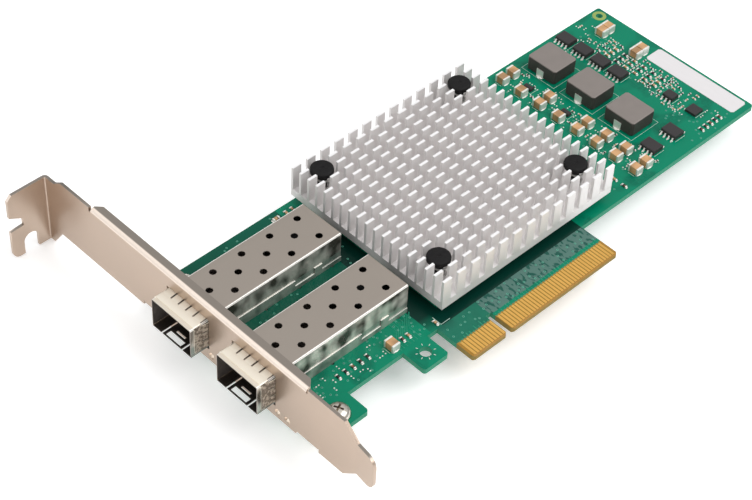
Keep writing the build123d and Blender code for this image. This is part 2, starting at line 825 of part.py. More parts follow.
# Flat leadless chip near the board's end
with BuildPart() as flat_chip:
    with BuildSketch(Plane.XY):
        with Locations((flat_chip_x, flat_chip_y)):
            Rectangle(flat_chip_size, flat_chip_size)
    extrude(amount=flat_chip_height)
flat_chip.part.label = "flat_chip"
export_step(flat_chip.part, "parts/flat_chip.step")

# Large ceramic capacitors: two columns beside the heat sink and a few by themselves.
# In the second column a C is a capacitor and a D is a diode.
second_x = capacitor_x + capacitor_gap
column_y = [capacitor_y + i * capacitor_pitch for i in range(len(second_column))]
capacitor_places = [(capacitor_x, y) for y in column_y]
capacitor_places += [(second_x, y) for y, kind in zip(column_y, second_column) if kind == "C"]
capacitor_places += [(output_x + i * output_pitch_x, output_y + j * output_pitch_y)
                     for i in range(2) for j in range(2)]
capacitor_places += [(tab_capacitor_x, tab_capacitor_y)]
diode_places = [(second_x - diode_shift, y) for y, kind in zip(column_y, second_column) if kind == "D"]
with BuildPart() as ceramic_capacitors:
    with BuildSketch(Plane.XY):
        with Locations(*capacitor_places):
            Rectangle(capacitor_width - 2 * capacitor_rim, capacitor_length - 2 * capacitor_end)
    extrude(amount=capacitor_height - capacitor_rim)
ceramic_capacitors.part.label = "ceramic_capacitors"
export_step(ceramic_capacitors.part, "parts/ceramic_capacitors.step")

with BuildPart() as capacitor_ends:
    with BuildSketch(Plane.XY):
        with Locations(*capacitor_places):
            with GridLocations(1, capacitor_length - capacitor_end, 1, 2):
                Rectangle(capacitor_width, capacitor_end)
    extrude(amount=capacitor_height)
capacitor_ends.part.label = "capacitor_ends"
export_step(capacitor_ends.part, "parts/capacitor_ends.step")

# Two small diodes that stand in for a capacitor in the second column
with BuildPart() as diodes:
    with BuildSketch(Plane.XY):
        with Locations(*diode_places):
            Rectangle(diode_width, diode_length)
    extrude(amount=diode_height)
    chamfer(edges().filter_by(Axis.Y).group_by(Axis.Z)[-1], diode_edge)
diodes.part.label = "diodes"
export_step(diodes.part, "parts/diodes.step")

# Small chip parts: a cluster between the transistors and the label, and short rows and pairs
small_places = [(cluster_x + i * cluster_pitch_x, cluster_y + j * cluster_pitch_y)
                for i in range(cluster_column_count) for j in range(cluster_row_count)]
small_places += [(end_row_x + i * end_row_pitch, end_row_y) for i in range(end_row_count)]
small_places += [(foot_row_x + i * foot_row_pitch, foot_row_y) for i in range(foot_row_count)]
small_places += [(tab_pair_x + i * tab_pair_pitch, tab_pair_y) for i in range(2)]
small_places += [(pair_beside_columns_x, pair_beside_columns_y + i * pair_beside_columns_pitch)
                 for i in range(2)]
small_places += [(lone_low_x, lone_low_y), (lone_high_x, lone_high_y)]
with BuildPart() as small_parts:
    with BuildSketch(Plane.XY):
        with Locations(*small_places):
            Rectangle(small_width, small_length)
    extrude(amount=small_height)
small_parts.part.label = "small_chip_parts"
export_step(small_parts.part, "parts/small_chip_parts.step")

# Indicator lamps on the solder side, looking out through the strip's small holes
with BuildPart() as indicator_lamps:
    with BuildSketch(Plane.XY.offset(solder_face)):
        for y in port_rows:
            first_lamp = y - cage_half - lamp_first
            lamp_x = bracket_face + sheet + lamp_gap + lamp_depth / 2
            with Locations((lamp_x, first_lamp), (lamp_x, first_lamp - lamp_pitch)):
                Rectangle(lamp_depth, lamp_length)
    extrude(amount=-lamp_height)
indicator_lamps.part.label = "indicator_lamps"
export_step(indicator_lamps.part, "parts/indicator_lamps.step")

# Label stuck on the board's end
with BuildPart() as board_label:
    with BuildSketch(Plane.XY):
        with Locations((label_x, label_y)):
            Rectangle(label_width, label_length)
        chamfer(vertices(), label_corner)
    extrude(amount=label_thickness)
board_label.part.label = "board_label"
export_step(board_label.part, "parts/board_label.step")
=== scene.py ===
"""Looks of a two-port network interface card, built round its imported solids.

The file is laid out as an add-on and run as a script. Lengths in the code are in millimetres, and MM turns
them to metres where they reach a mesh, a node or a user's setting. The frame is the card's own: X along the
board away from the bracket, Y from the edge tongue up to the board's top edge, Z up from the component face.
"""
import math
import random

import bmesh
import bpy
from mathutils import Matrix, Vector


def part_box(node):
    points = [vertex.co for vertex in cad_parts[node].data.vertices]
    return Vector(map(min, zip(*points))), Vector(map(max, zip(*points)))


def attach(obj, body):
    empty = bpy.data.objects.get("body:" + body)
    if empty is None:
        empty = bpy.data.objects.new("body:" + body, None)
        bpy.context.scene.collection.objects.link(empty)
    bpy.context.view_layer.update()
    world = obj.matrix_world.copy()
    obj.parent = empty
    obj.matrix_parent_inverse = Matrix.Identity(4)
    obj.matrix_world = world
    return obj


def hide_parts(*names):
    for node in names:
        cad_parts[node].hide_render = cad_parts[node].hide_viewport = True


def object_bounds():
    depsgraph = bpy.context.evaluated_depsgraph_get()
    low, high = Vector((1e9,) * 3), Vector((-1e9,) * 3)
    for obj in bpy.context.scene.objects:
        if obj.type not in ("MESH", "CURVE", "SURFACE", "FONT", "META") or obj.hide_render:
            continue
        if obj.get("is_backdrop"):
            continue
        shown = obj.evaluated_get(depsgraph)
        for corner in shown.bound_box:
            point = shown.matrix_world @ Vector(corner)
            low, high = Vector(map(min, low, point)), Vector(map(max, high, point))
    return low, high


bl_info = {
    "name": "Network Interface Card",
    "version": (1, 0, 0),
    "blender": (4, 5, 0),
    "location": "3D View > Sidebar > Card",
    "description": "Dresses the solids of a network interface card with materials and fine detail",
    "category": "Object",
}

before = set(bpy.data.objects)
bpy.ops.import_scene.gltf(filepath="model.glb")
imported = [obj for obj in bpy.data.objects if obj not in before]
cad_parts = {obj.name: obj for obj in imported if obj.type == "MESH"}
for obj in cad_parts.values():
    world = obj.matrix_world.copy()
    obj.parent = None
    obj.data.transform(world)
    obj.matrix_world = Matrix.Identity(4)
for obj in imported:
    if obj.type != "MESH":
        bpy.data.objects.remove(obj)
MM = 0.001


def colour(code):
    """Turns an sRGB hex value to the linear red, green, blue and alpha that Blender works with."""
    shares = [int(code[i:i + 2], 16) / 255 for i in (1, 3, 5)]
    return (*(s / 12.92 if s <= 0.04045 else ((s + 0.055) / 1.055) ** 2.4 for s in shares), 1.0)


def shade(base, factor):
    """A colour made darker or lighter."""
    return (*(min(share * factor, 1.0) for share in base[:3]), 1.0)


def box_mm(node):
    """Lowest and highest corner of a CAD node, in millimetres."""
    low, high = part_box(node)
    return low / MM, high / MM


def boxes_of(mesh):
    """Boxes, in millimetres, of a mesh's separate parts."""
    work = bmesh.new()
    work.from_mesh(mesh)
    bmesh.ops.remove_doubles(work, verts=work.verts, dist=1e-8)
    left = set(work.verts)
    boxes = []
    while left:
        group = {left.pop()}
        rim = list(group)
        while rim:
            near = {edge.other_vert(vert) for vert in rim for edge in vert.link_edges} & left
            left -= near
            group |= near
            rim = list(near)
        spots = [vert.co / MM for vert in group]
        low = Vector([min(spot[k] for spot in spots) for k in range(3)])
        high = Vector([max(spot[k] for spot in spots) for k in range(3)])
        boxes.append((low, high))
    work.free()
    return sorted(boxes, key=lambda box: (round(box[0].x, 2), round(box[0].y, 2)))


def islands(node):
    """Boxes, in millimetres, of the separate solids in a CAD node."""
    return boxes_of(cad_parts[node].data)


def centred(low, high, height):
    """The middle of a box, as seen from above, at a height."""
    return Vector(((low.x + high.x) / 2, (low.y + high.y) / 2, height))


# Places that the details share with the solids, most of them read from the solids' own boxes

BOARD_LOW, BOARD_HIGH = box_mm("circuit_board")
SOLDER_FACE = BOARD_LOW.z
SINK_LOW, SINK_HIGH = box_mm("heat_sink")
SINK_BASE_TOP = 4.9
CAGES = [box_mm("cage_cover_1"), box_mm("cage_cover_2")]
CAGE_HIGH = CAGES[0][1]
UPPER_CAGE_LOW, UPPER_CAGE_HIGH = CAGES[1]
BRACKET_FRONT = box_mm("bracket")[0].x
CORNER_HOLE = (BOARD_HIGH.x - 2.7, BOARD_HIGH.y - 2.7)
RETENTION_HOLE = (-19.9, 9.1)
TONGUE_START = -12.6
TONGUE_END = 39.6
KEY_END = 0.5
CONTACT_TOP = 5.55
FIELD_TOP = 12.4
FIRST_PIN = -50.0
PIN_PITCH = 11.0
PIN_INSET = 0.125
FAR = 500.0

# Stretches of the board for small details, as judged: low x, low y, high x, high y, and how many in each

VIA_AREAS = [((93, 31, 102.4, 58), 26), ((63, 15, 73.5, 66), 40), ((86, 13.5, 102, 27), 22),
             ((-11.5, 7.2, 38.5, 12), 44), ((-53, 13.2, -25, 20.4), 34), ((84, 55, 106, 67.5), 26),
             ((-13.4, 20, -10, 66), 16), ((-52, 37, -18, 44), 10), ((-52, 60.5, -12, 67.5), 22),
             ((54, 14, 61, 28), 8), ((-24, 13.4, -13.5, 20), 12)]
LAND_AREAS = [((93.5, 32.5, 102.6, 57), 12), ((92, 13.5, 101, 34), 10), ((64, 15, 73, 66), 34),
              ((-50, 13.6, -27, 19.5), 12), ((85, 56, 103, 67), 14)]
CHIP_AREAS = [((94.3, 33.5, 102.3, 57), 34), ((91.5, 24.6, 101.5, 34), 20), ((64, 15, 73, 66), 22),
              ((86, 56, 100, 67), 6), ((-26, 61.5, -13, 66.5), 6), ((55, 14, 62, 22), 4)]

# Small details placed one by one: rows of vias along the cages' walls, by their Y, and chip parts past the
# upper cage, by their place, size and turn

VIA_ROWS = [(20.85, (-36.0, -28.1, -26.0, -23.5, -18.4, -15.7)), (44.3, (-46.1, -36.1, -31.3))]
UPPER_CHIPS = [((-16.6, 66.1, 0), (2.0, 1.25, 0.9), 0), ((-13.0, 66.2, 0), (1.6, 0.8, 0.45), 90),
               ((-10.9, 66.2, 0), (1.6, 0.8, 0.45), 90)]


# Tools for shaders


def add_node(tree, kind, inputs=None, **settings):
    """Adds a node with its settings, and gives its inputs values or links. A node among the inputs stands for
    its first output in use."""
    made = tree.nodes.new(kind)
    for name, value in settings.items():
        setattr(made, name, value)
    for key, value in (inputs or {}).items():
        if isinstance(value, bpy.types.Node):
            value = next(socket for socket in value.outputs if socket.enabled)
        if isinstance(value, bpy.types.NodeSocket):
            tree.links.new(value, made.inputs[key])
        else:
            made.inputs[key].default_value = value
    return made


def open_material(name):
    """A new material, its empty tree, and the Object coordinates that its patterns lie on."""
    material = bpy.data.materials.new(name)
    material.use_nodes = True
    tree = material.node_tree
    tree.nodes.clear()
    return material, tree, add_node(tree, "ShaderNodeTexCoord").outputs["Object"]


def surface(material, height, depth, values):
    """Closes a material with a surface of the given values, and relief of a depth in millimetres on it."""
    tree = material.node_tree
    bump = add_node(tree, "ShaderNodeBump", {"Height": height, "Distance": depth * MM})
    shader = add_node(tree, "ShaderNodeBsdfPrincipled", {"Normal": bump, **values})
    add_node(tree, "ShaderNodeOutputMaterial", {"Surface": shader})
    return material


def grain(tree, place, size, stretch=(1, 1, 1), detail=3.0, roughness=0.5):
    """Noise whose blobs are about size millimetres wide, drawn out along an axis by its stretch."""
    scale = [1 / (size * MM * share) for share in stretch]
    mapped = add_node(tree, "ShaderNodeMapping", {"Vector": place, "Scale": scale})
    return add_node(tree, "ShaderNodeTexNoise", {
        "Vector": mapped, "Scale": 1.0, "Detail": detail, "Roughness": roughness})


def wear(tree, place, base, rough, size, tones=(0.92, 1.08), stretch=(1, 1, 1)):
    """Slow drift of tone and roughness over a surface, as handling and plating leave it."""
    drift = grain(tree, place, size, stretch, 4.0)
    tone = add_node(tree, "ShaderNodeMix", {0: drift, 6: shade(base, tones[0]), 7: shade(base, tones[1])},
                    data_type="RGBA")
    gloss = add_node(tree, "ShaderNodeMapRange", {
        "Value": drift, "From Min": 0.3, "From Max": 0.7, "To Min": rough * 0.85, "To Max": rough * 1.2})
    return {"Base Color": tone, "Roughness": gloss}


def even_finish(name, worn, relief, depth, **values):
    """A whole material of one tone. What wear takes is in worn, what grain takes is in relief."""
    material, tree, place = open_material(name)
    return surface(material, grain(tree, place, *relief), depth, {**wear(tree, place, *worn), **values})


def facing(tree):
    """The X, Y and Z of the way that a surface faces."""
    normal = add_node(tree, "ShaderNodeNewGeometry").outputs["Normal"]
    return add_node(tree, "ShaderNodeSeparateXYZ", {0: normal}).outputs


def inside(tree, vector, unit=MM, strength=1.0, **spans):
    """A share that is strength inside a box of places, or of ways to face, and nought outside it."""
    share = strength
    for axis, (low, high) in spans.items():
        near = add_node(tree, "ShaderNodeMath", {
            0: vector[axis], 1: (low + high) / 2 * unit, 2: (high - low) / 2 * unit}, operation="COMPARE")
        share = add_node(tree, "ShaderNodeMath", {0: share, 1: near}, operation="MULTIPLY")
    return share


def coats(tree, under, *layers):
    """A colour with others laid over it, each told by its share and its colour."""
    for share, over in layers:
        under = add_node(tree, "ShaderNodeMix", {0: share, 6: under, 7: over}, data_type="RGBA")
    return under


# Materials


def solder_mask(board):
    """Liquid solder mask, cured over copper and glass fibre: glossy emerald where copper lies under it and
    darker elsewhere, grey-green above the contacts, bare brown laminate between them and a paler edge."""
    material, tree, place = open_material("Glossy solder mask")
    where = add_node(tree, "ShaderNodeSeparateXYZ", {0: place}).outputs
    # routed copper shows as the thin rims of cells, 2.4 by 1.3 mm, and poured copper as wide patches
    scale = [1 / (size * MM) for size in (2.381, 1.282, 2.381)]
    routed = add_node(tree, "ShaderNodeMapping", {"Vector": place, "Scale": scale})
    cells = add_node(tree, "ShaderNodeTexVoronoi", {"Vector": routed, "Scale": 1.0, "Randomness": 0.85},
                     distance="CHEBYCHEV", feature="F1")
    rims = add_node(tree, "ShaderNodeMath", {0: cells, 1: 0.16}, operation="PINGPONG")
    lines = add_node(tree, "ShaderNodeMapRange", {
        "Value": rims, "From Min": 0.05, "From Max": 0.11, "To Max": 0.8})
    pour = add_node(tree, "ShaderNodeMapRange", {
        "Value": grain(tree, place, 9, detail=1.0), "From Min": 0.36, "From Max": 0.46, "To Min": 0.58})
    copper = add_node(tree, "ShaderNodeMath", {0: lines, 1: pour}, operation="MAXIMUM")
    # the field above the contacts has no copper, apart from short dark stubs
    stubs = add_node(tree, "ShaderNodeMapRange", {
        "Value": grain(tree, place, 0.9, (1.0, 2.4, 1.0), 1.0), "From Min": 0.54, "From Max": 0.6})
    stubbed = coats(tree, colour("#53776E"), (stubs, colour("#1F554A")))
    field = inside(tree, where, X=(KEY_END, TONGUE_END), Y=(CONTACT_TOP + 1.4, FIELD_TOP))
    by_key = inside(tree, where, strength=0.6, X=(TONGUE_START, KEY_END), Y=(CONTACT_TOP + 0.4, FIELD_TOP))
    # darker along the heat sink's two near sides, partly bare mask and partly painted shade under its
    # overhang, and dull with painted shade beside the cages' walls, on the component face only
    upper = (-0.5, FAR)
    front = inside(tree, where, X=(SINK_LOW.x - 1.5, TONGUE_END), Y=(FIELD_TOP, SINK_LOW.y + 3), Z=upper)
    fade = add_node(tree, "ShaderNodeMapRange", {
        "Value": where["Y"], "From Min": (SINK_LOW.y - 3.5) * MM, "From Max": (SINK_LOW.y + 3) * MM})
    beside = inside(tree, where, strength=fade, X=(CAGE_HIGH.x - 0.5, SINK_LOW.x + 1.5),
                    Y=(-FAR, UPPER_CAGE_HIGH.y + 1.5), Z=upper)
    lanes = [inside(tree, where, strength=0.8, X=(-FAR, CAGE_HIGH.x - 0.5), Y=span, Z=upper)
             for span in ((CAGE_HIGH.y - 0.2, UPPER_CAGE_LOW.y + 0.2), (UPPER_CAGE_HIGH.y - 0.2, FAR))]
    tongue = inside(tree, where, X=(TONGUE_START - 0.5, TONGUE_END + 0.5), Y=(-FAR, CONTACT_TOP + 0.35))
    laminate = coats(tree, colour("#8C6526"), (grain(tree, place, 0.3, (3, 1, 1)), colour("#B3863B")))
    face = coats(tree, board.bare_colour, (copper, board.mask_colour), (field, stubbed),
                 (by_key, colour("#235E50")), (front, colour("#053229")), (beside, colour("#053229")),
                 *((lane, colour("#04493A")) for lane in lanes), (tongue, laminate))
    # the cut edge shows the layers of glass cloth, 0.26 mm apart and stained green by the mask
    turns = math.tau / (0.2618 * MM)
    phase = add_node(tree, "ShaderNodeMath", {0: where["Z"], 1: turns}, operation="MULTIPLY")
    waves = add_node(tree, "ShaderNodeMath", {0: phase}, operation="SINE")
    layers = add_node(tree, "ShaderNodeMapRange", {"Value": waves, "From Min": -1})
    edge = coats(tree, colour("#1E7A5E"), (layers, colour("#58A98A")),
                 (tongue, coats(tree, colour("#7A6A3C"), (layers, colour("#A58D52")))))
    side = inside(tree, facing(tree), unit=1, Z=(-0.5, 0.5))
    gloss = add_node(tree, "ShaderNodeMapRange", {"Value": side, "To Min": 0.26, "To Max": 0.7})
    return surface(material, copper, 0.02, {"Base Color": coats(tree, face, (side, edge)), "Roughness": gloss,
                                            "IOR": 1.5, "Specular IOR Level": 0.16})


def hard_gold(metals):
    """Gold plated hard over nickel: warm yellow and satin, with the faint rub lines that a slot leaves."""
    return even_finish("Hard gold plating", (metals.gold_colour, 0.32, 3.0, (0.9, 1.1), (0.2, 3, 1)),
                       (0.12, (1, 14, 1)), 0.004, Metallic=1.0)


def plated_sheet(name, base, rough, size, along, depth):
    """Rolled or drawn metal under nickel: a soft grey sheen with the grain of its making along one axis."""
    return even_finish(name, (base, rough, 9.0), (size, along, 2.0), depth, Metallic=1.0)


def spring_nickel(metals):
    """Spring steel under bright nickel: creamy where it faces up, with painted shade in brown-grey on its
    sides and streaks of painted glint over that shade.
    """
    material, tree, place = open_material("Bright nickel on spring steel")
    # the faces that look along Y get painted shade in brown-grey, with streaks of painted glint
    streaks = add_node(tree, "ShaderNodeMapRange", {
        "Value": grain(tree, place, 0.5, (1.5, 1, 1.5), 2.0), "From Min": 0.45, "From Max": 0.6})
    values = wear(tree, place, metals.collar_colour, 0.34, 9.0)
    upper = inside(tree, facing(tree), unit=1, Y=(-0.6, 0.6))
    values["Base Color"] = coats(tree, colour("#7D7469"), (streaks, colour("#C9C0B2")),
                                 (upper, values["Base Color"]))
    return surface(material, grain(tree, place, 0.1, (6, 1, 1), 2.0), 0.004, {"Metallic": 0.45, **values})


def bracket_nickel(metals):
    """Rolled steel under dull nickel: warm beige with slow cloudy patches and a fine grain along its length,
    with a painted grey reflection on the flange's upper face and a painted highlight along its fold."""
    material, tree, place = open_material("Dull nickel on steel")
    values = wear(tree, place, metals.nickel_colour, 0.34, 22.0, (0.84, 1.14), (1, 1.4, 1))
    way = facing(tree)
    # painted reflection in grey on the upward faces, and a painted highlight on the fold between strip and
    # flange
    upper = add_node(tree, "ShaderNodeMapRange", {"Value": way["Z"], "From Min": 0.75, "From Max": 0.95})
    corner = add_node(tree, "ShaderNodeMath", {0: way["X"], 1: way["Z"]}, operation="MULTIPLY")
    fold = add_node(tree, "ShaderNodeMapRange", {"Value": corner, "From Min": -0.12, "From Max": -0.3})
    values["Base Color"] = coats(tree, values["Base Color"], (upper, colour("#9F968D")),
                                 (fold, colour("#FBEBDD")))
    values["Metallic"] = add_node(tree, "ShaderNodeMapRange", {"Value": fold, "To Min": 1.0, "To Max": 0.3})
    return surface(material, grain(tree, place, 0.12, (1, 9, 1), 2.0), 0.006, values)


def cut_aluminium(metals):
    """Extruded aluminium, sawn across into fins: pale and satin from fine saw marks, with a painted highlight
    on the fin tops.
    """
    material, tree, place = open_material("Sawn bare aluminium")
    where = add_node(tree, "ShaderNodeSeparateXYZ", {0: place}).outputs
    values = wear(tree, place, metals.aluminium_colour, 0.5, 6.0, (0.93, 1.0))
    # a painted highlight on the top 0.15 mm of the fins
    top = inside(tree, where, Z=(SINK_HIGH.z - 0.15, FAR))
    values["Base Color"] = coats(tree, values["Base Color"], (top, colour("#FBFAFA")))
    return surface(material, grain(tree, place, 0.25, (0.5, 6, 6)), 0.012, {"Metallic": 0.4, **values})


def black_nylon(parts):
    """Nylon moulded into push pins: near black and matt, with a fine moulding grain."""
    return even_finish("Moulded black nylon", (parts.nylon_colour, 0.6, 1.5, (0.75, 1.25)),
                       (0.45, (1, 1, 1), 2.0), 0.05, **{"IOR": 1.53, "Specular IOR Level": 0.25})


def pressed_iron(parts):
    """Iron powder pressed into a block: grey-brown and satin with a fine sandy grain, and painted shade on
    its sides.
    """
    material, tree, place = open_material("Pressed iron powder")
    size, base = 2.6, parts.inductor_colour
    values = wear(tree, place, base, 0.48, size, (0.9, 1.08))
    # faces that don't look up get painted shade, a darker copy of the tone
    upper = add_node(tree, "ShaderNodeMapRange", {
        "Value": facing(tree)["Z"], "From Min": 0.2, "From Max": 0.8})
    drift = grain(tree, place, size, detail=4.0)
    values["Base Color"] = coats(tree, shade(base, 0.16), (drift, shade(base, 0.26)),
                                 (upper, values["Base Color"]))
    return surface(material, grain(tree, place, 0.14, detail=5.0), 0.02, {"IOR": 1.45, **values})


def moulded_epoxy(parts):
    """Epoxy moulded round a chip: charcoal and matt, with a sparkle of filler."""
    return even_finish("Moulded chip epoxy", (parts.epoxy_colour, 0.55, 0.5, (0.7, 1.3)),
                       (0.1, (1, 1, 1), 4.0), 0.012)


def fired_ceramic(parts):
    """Ceramic fired into capacitors: tan, matt and slightly waxy, each block with its own tone."""
    material, tree, place = open_material("Fired tan ceramic")
    tone = add_node(tree, "ShaderNodeMapRange", {
        "Value": grain(tree, place, 3.4, detail=1.0), "From Min": 0.35, "From Max": 0.65})
    base = parts.ceramic_colour
    return surface(material, grain(tree, place, 0.2), 0.01, {
        "Base Color": coats(tree, shade(base, 0.72), (tone, shade(base, 1.25))), "Roughness": 0.42})


def mixed_ceramic():
    """Fired ceramics of the small parts: some near black, some brown and some tan, by where they lie."""
    material, tree, place = open_material("Small part ceramics")
    kind = grain(tree, place, 3.0, detail=0.0)
    tones = [(add_node(tree, "ShaderNodeMath", {0: kind, 1: edge}, operation="GREATER_THAN"), colour(code))
             for edge, code in ((0.47, "#6E4F38"), (0.56, "#C09A72"))]
    return surface(material, grain(tree, place, 0.15), 0.008, {
        "Base Color": coats(tree, colour("#262322"), *tones), "Roughness": 0.45})


def bright_tin(metals):
    """Tin plating and reflowed solder: white metal, soft and slightly grainy, so that it stays pale."""
    return even_finish("Reflowed tin", (metals.tin_colour, 0.38, 0.8), (0.3,), 0.03, Metallic=0.5)


def rolled_cage(metals):
    """Thin rolled steel under nickel: satin on top, with broken patches of painted reflection in pale green
    on the walls, because thin sheet isn't quite flat and mirrors the board. The nose is creamier and the bays
    are dark with painted shade."""
    material, tree, place = open_material("Rolled nickel steel")
    where = add_node(tree, "ShaderNodeSeparateXYZ", {0: place}).outputs
    way = facing(tree)
    level = inside(tree, way, unit=1, Y=(-0.7, 0.7))
    wall = add_node(tree, "ShaderNodeMath", {0: 1.0, 1: level}, operation="SUBTRACT")
    # the upper cage's wall faces the other cage, so it picks up less light
    patches = add_node(tree, "ShaderNodeMapRange", {
        "Value": grain(tree, place, 3.4, (1.1, 1, 1.5), 1.4), "From Min": 0.34, "From Max": 0.62})
    light = add_node(tree, "ShaderNodeMapRange", {
        "Value": where["Y"], "From Min": CAGE_HIGH.y * MM, "From Max": UPPER_CAGE_LOW.y * MM, "To Min": 1.0,
        "To Max": 0.7})
    patches = add_node(tree, "ShaderNodeMath", {0: patches, 1: light}, operation="MULTIPLY")
    # the pan's flaps low on the walls take a paler green painted reflection
    low_wall = inside(tree, where, strength=0.55, Z=(-FAR, 3.3))
    mottled = coats(tree, colour("#4A4841"), (patches, metals.wall_colour), (low_wall, colour("#8FA197")))
    along = inside(tree, way, unit=1, X=(-0.5, 0.5))
    nose = inside(tree, where, strength=along, X=(-FAR, BRACKET_FRONT + 9.0))
    # folds and the pan's upper edges catch the light
    lean = add_node(tree, "ShaderNodeMath", {0: way["Y"]}, operation="ABSOLUTE")
    lean = add_node(tree, "ShaderNodeMath", {0: lean, 1: way["Z"]}, operation="MULTIPLY")
    fold = add_node(tree, "ShaderNodeMapRange", {"Value": lean, "From Min": 0.1, "From Max": 0.3})
    seam = inside(tree, where, strength=inside(tree, way, unit=1, Z=(0.7, 1.1)), Z=(1.2, 3.5))
    bright = add_node(tree, "ShaderNodeMath", {0: fold, 1: seam}, operation="MAXIMUM")
    # the painted shade of the bays begins within the sheet, so that only its inner faces are dark
    within = 0.12
    bays = [inside(tree, where, Y=(low.y + within, high.y - within), Z=(-FAR, high.z - within))
            for low, high in CAGES]
    skin = coats(tree, metals.cage_colour, (nose, metals.collar_colour), (wall, mottled),
                 (bright, colour("#FFFCF6")), *((bay, colour("#78706A")) for bay in bays))
    gloss = add_node(tree, "ShaderNodeMapRange", {"Value": wall, "To Min": 0.36, "To Max": 0.24})
    dull = add_node(tree, "ShaderNodeMath", {0: wall, 1: 0.65}, operation="MULTIPLY")
    dull = add_node(tree, "ShaderNodeMath", {0: bright, 1: dull}, operation="MAXIMUM")
    metal = add_node(tree, "ShaderNodeMapRange", {"Value": dull, "To Min": 1.0, "To Max": 0.15})
    waves = add_node(tree, "ShaderNodeMath", {0: wall, 1: grain(tree, place, 3.6, (1.2, 1, 1.2), 2.4, 0.55)},
                     operation="MULTIPLY")
    fine = grain(tree, place, 0.1, (9, 1, 1), 2.0)
    rolled = add_node(tree, "ShaderNodeMath", {0: fine, 1: 0.008, 2: waves}, operation="MULTIPLY_ADD")
    return surface(material, rolled, 0.6, {"Base Color": skin, "Roughness": gloss, "Metallic": metal})


def plain_plastic(name, base, rough, size=0.3, tones=(0.85, 1.15), **values):
    """Resin that was moulded, cast or printed: even and soft, with a faint surface grain."""
    return even_finish(name, (base, rough, 2.0, tones), (size,), 0.01, **values)


def label_film(parts):
    """Polyester label film, blank: white and satin, with a faint fibre tone."""
    return even_finish("Blank label film", (parts.label_colour, 0.4, 1.2, (0.97, 1.03), (1, 4, 1)),
                       (0.4,), 0.01)


# Tools for pieces

SHARP = math.radians(35)


def keep(name, mesh, material=None, stands_for=(), edge=0.0, segments=2):
    """Makes a finished piece of a mesh: at the origin, with its edges broken, riding on the card."""
    piece = bpy.data.objects.new(name, mesh)
    bpy.context.scene.collection.objects.link(piece)
    if material:
        mesh.materials.clear()
        mesh.materials.append(material)
    if edge:
        bevel = piece.modifiers.new("Edge radius", "BEVEL")
        bevel.width = edge * MM
        bevel.segments = segments
        bevel.limit_method = "ANGLE"
        bevel.angle_limit = SHARP
        bevel.harden_normals = True
    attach(piece, "root")
    if stands_for:
        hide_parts(*stands_for)


def softened(node, material, edge=0.0, segments=2):
    """Stands a copy of a CAD node in its place, with its edges broken by a small radius."""
    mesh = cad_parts[node].data.copy()
    work = bmesh.new()
    work.from_mesh(mesh)
    bmesh.ops.remove_doubles(work, verts=work.verts, dist=1e-8)
    bmesh.ops.dissolve_limit(work, angle_limit=math.radians(0.5), verts=work.verts, edges=work.edges)
    for face in work.faces:
        face.smooth = True
    work.to_mesh(mesh)
    work.free()
    mesh.set_sharp_from_angle(angle=SHARP)
    keep(f"{node}_soft", mesh, material, [node], edge, segments)


def repaint(material, *nodes):
    """Gives CAD nodes that keep their shape a better material."""
    for node in nodes:
        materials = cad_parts[node].data.materials
        materials.clear()
        materials.append(material)


def part_of(node, height, above=False):
    """A copy of what a CAD node has below a height in millimetres, or above it."""
    mesh = bpy.data.meshes.new(node + "_part")
    work = bmesh.new()
    work.from_mesh(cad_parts[node].data)
    bmesh.ops.remove_doubles(work, verts=work.verts, dist=1e-8)
    bmesh.ops.bisect_plane(work, geom=[*work.verts, *work.edges, *work.faces], plane_co=(0, 0, height * MM),
                           plane_no=(0, 0, 1), clear_outer=not above, clear_inner=above)
    bmesh.ops.holes_fill(work, edges=[edge for edge in work.edges if edge.is_boundary])
    bmesh.ops.recalc_face_normals(work, faces=work.faces)
    work.to_mesh(mesh)
    work.free()
    return mesh


def joined(name, meshes):
    """One mesh of several."""
    work = bmesh.new()
    for mesh in meshes:
        work.from_mesh(mesh)
    whole = bpy.data.meshes.new(name)
    work.to_mesh(whole)
    work.free()
    return whole


def lathe(outline, foot, steps=48):
    """A turned shape on a vertical axis. Its outline is (radius, height) from the axis at the top down, with
    heights counted from the foot."""
    mesh = bpy.data.meshes.new("turned")
    work = bmesh.new()
    rim = [work.verts.new((radius * MM, 0, height * MM)) for radius, height in outline]
    edges = [work.edges.new(pair) for pair in zip(rim, rim[1:])]
    bmesh.ops.spin(work, geom=rim + edges, cent=(0, 0, 0), axis=(0, 0, 1), angle=math.tau, steps=steps)
    bmesh.ops.remove_doubles(work, verts=work.verts, dist=1e-8)
    bmesh.ops.recalc_face_normals(work, faces=work.faces)
    for face in work.faces:
        face.smooth = True
    bmesh.ops.translate(work, verts=work.verts, vec=Vector(foot) * MM)
    work.to_mesh(mesh)
    work.free()
    mesh.set_sharp_from_angle(angle=SHARP)
    return mesh


def carved(mesh, cutter):
    """A mesh with the form of another cut out of it."""
    body = bpy.data.objects.new("body", mesh)
    tool = bpy.data.objects.new("tool", cutter)
    for thing in (body, tool):
        bpy.context.scene.collection.objects.link(thing)
    cut = body.modifiers.new("Cut", "BOOLEAN")
    cut.operation = "DIFFERENCE"
    cut.object = tool
    depsgraph = bpy.context.evaluated_depsgraph_get()
    result = bpy.data.meshes.new_from_object(body.evaluated_get(depsgraph), depsgraph=depsgraph)
    for thing in (body, tool):
        bpy.data.objects.remove(thing)
    return result


def recess_blade(centre, length, width, turn, depth=1.3):
    """A blade that narrows to half its size at its depth, and cuts one arm of a screw's cross recess."""
    work = bmesh.new()
    spin = Matrix.Translation(centre) @ Matrix.Rotation(math.radians(turn), 4, "Z")
    bmesh.ops.create_cube(work, size=1, matrix=spin @ Matrix.Diagonal((length, width, 2 * depth, 1)))
    for vert in work.verts:
        if vert.co.z < centre.z:
            vert.co.xy = (vert.co.xy + centre.xy) / 2
    bmesh.ops.scale(work, vec=(MM, MM, MM), verts=work.verts)
    mesh = bpy.data.meshes.new("blade")
    work.to_mesh(mesh)
    work.free()
    return mesh


# Geometry trees


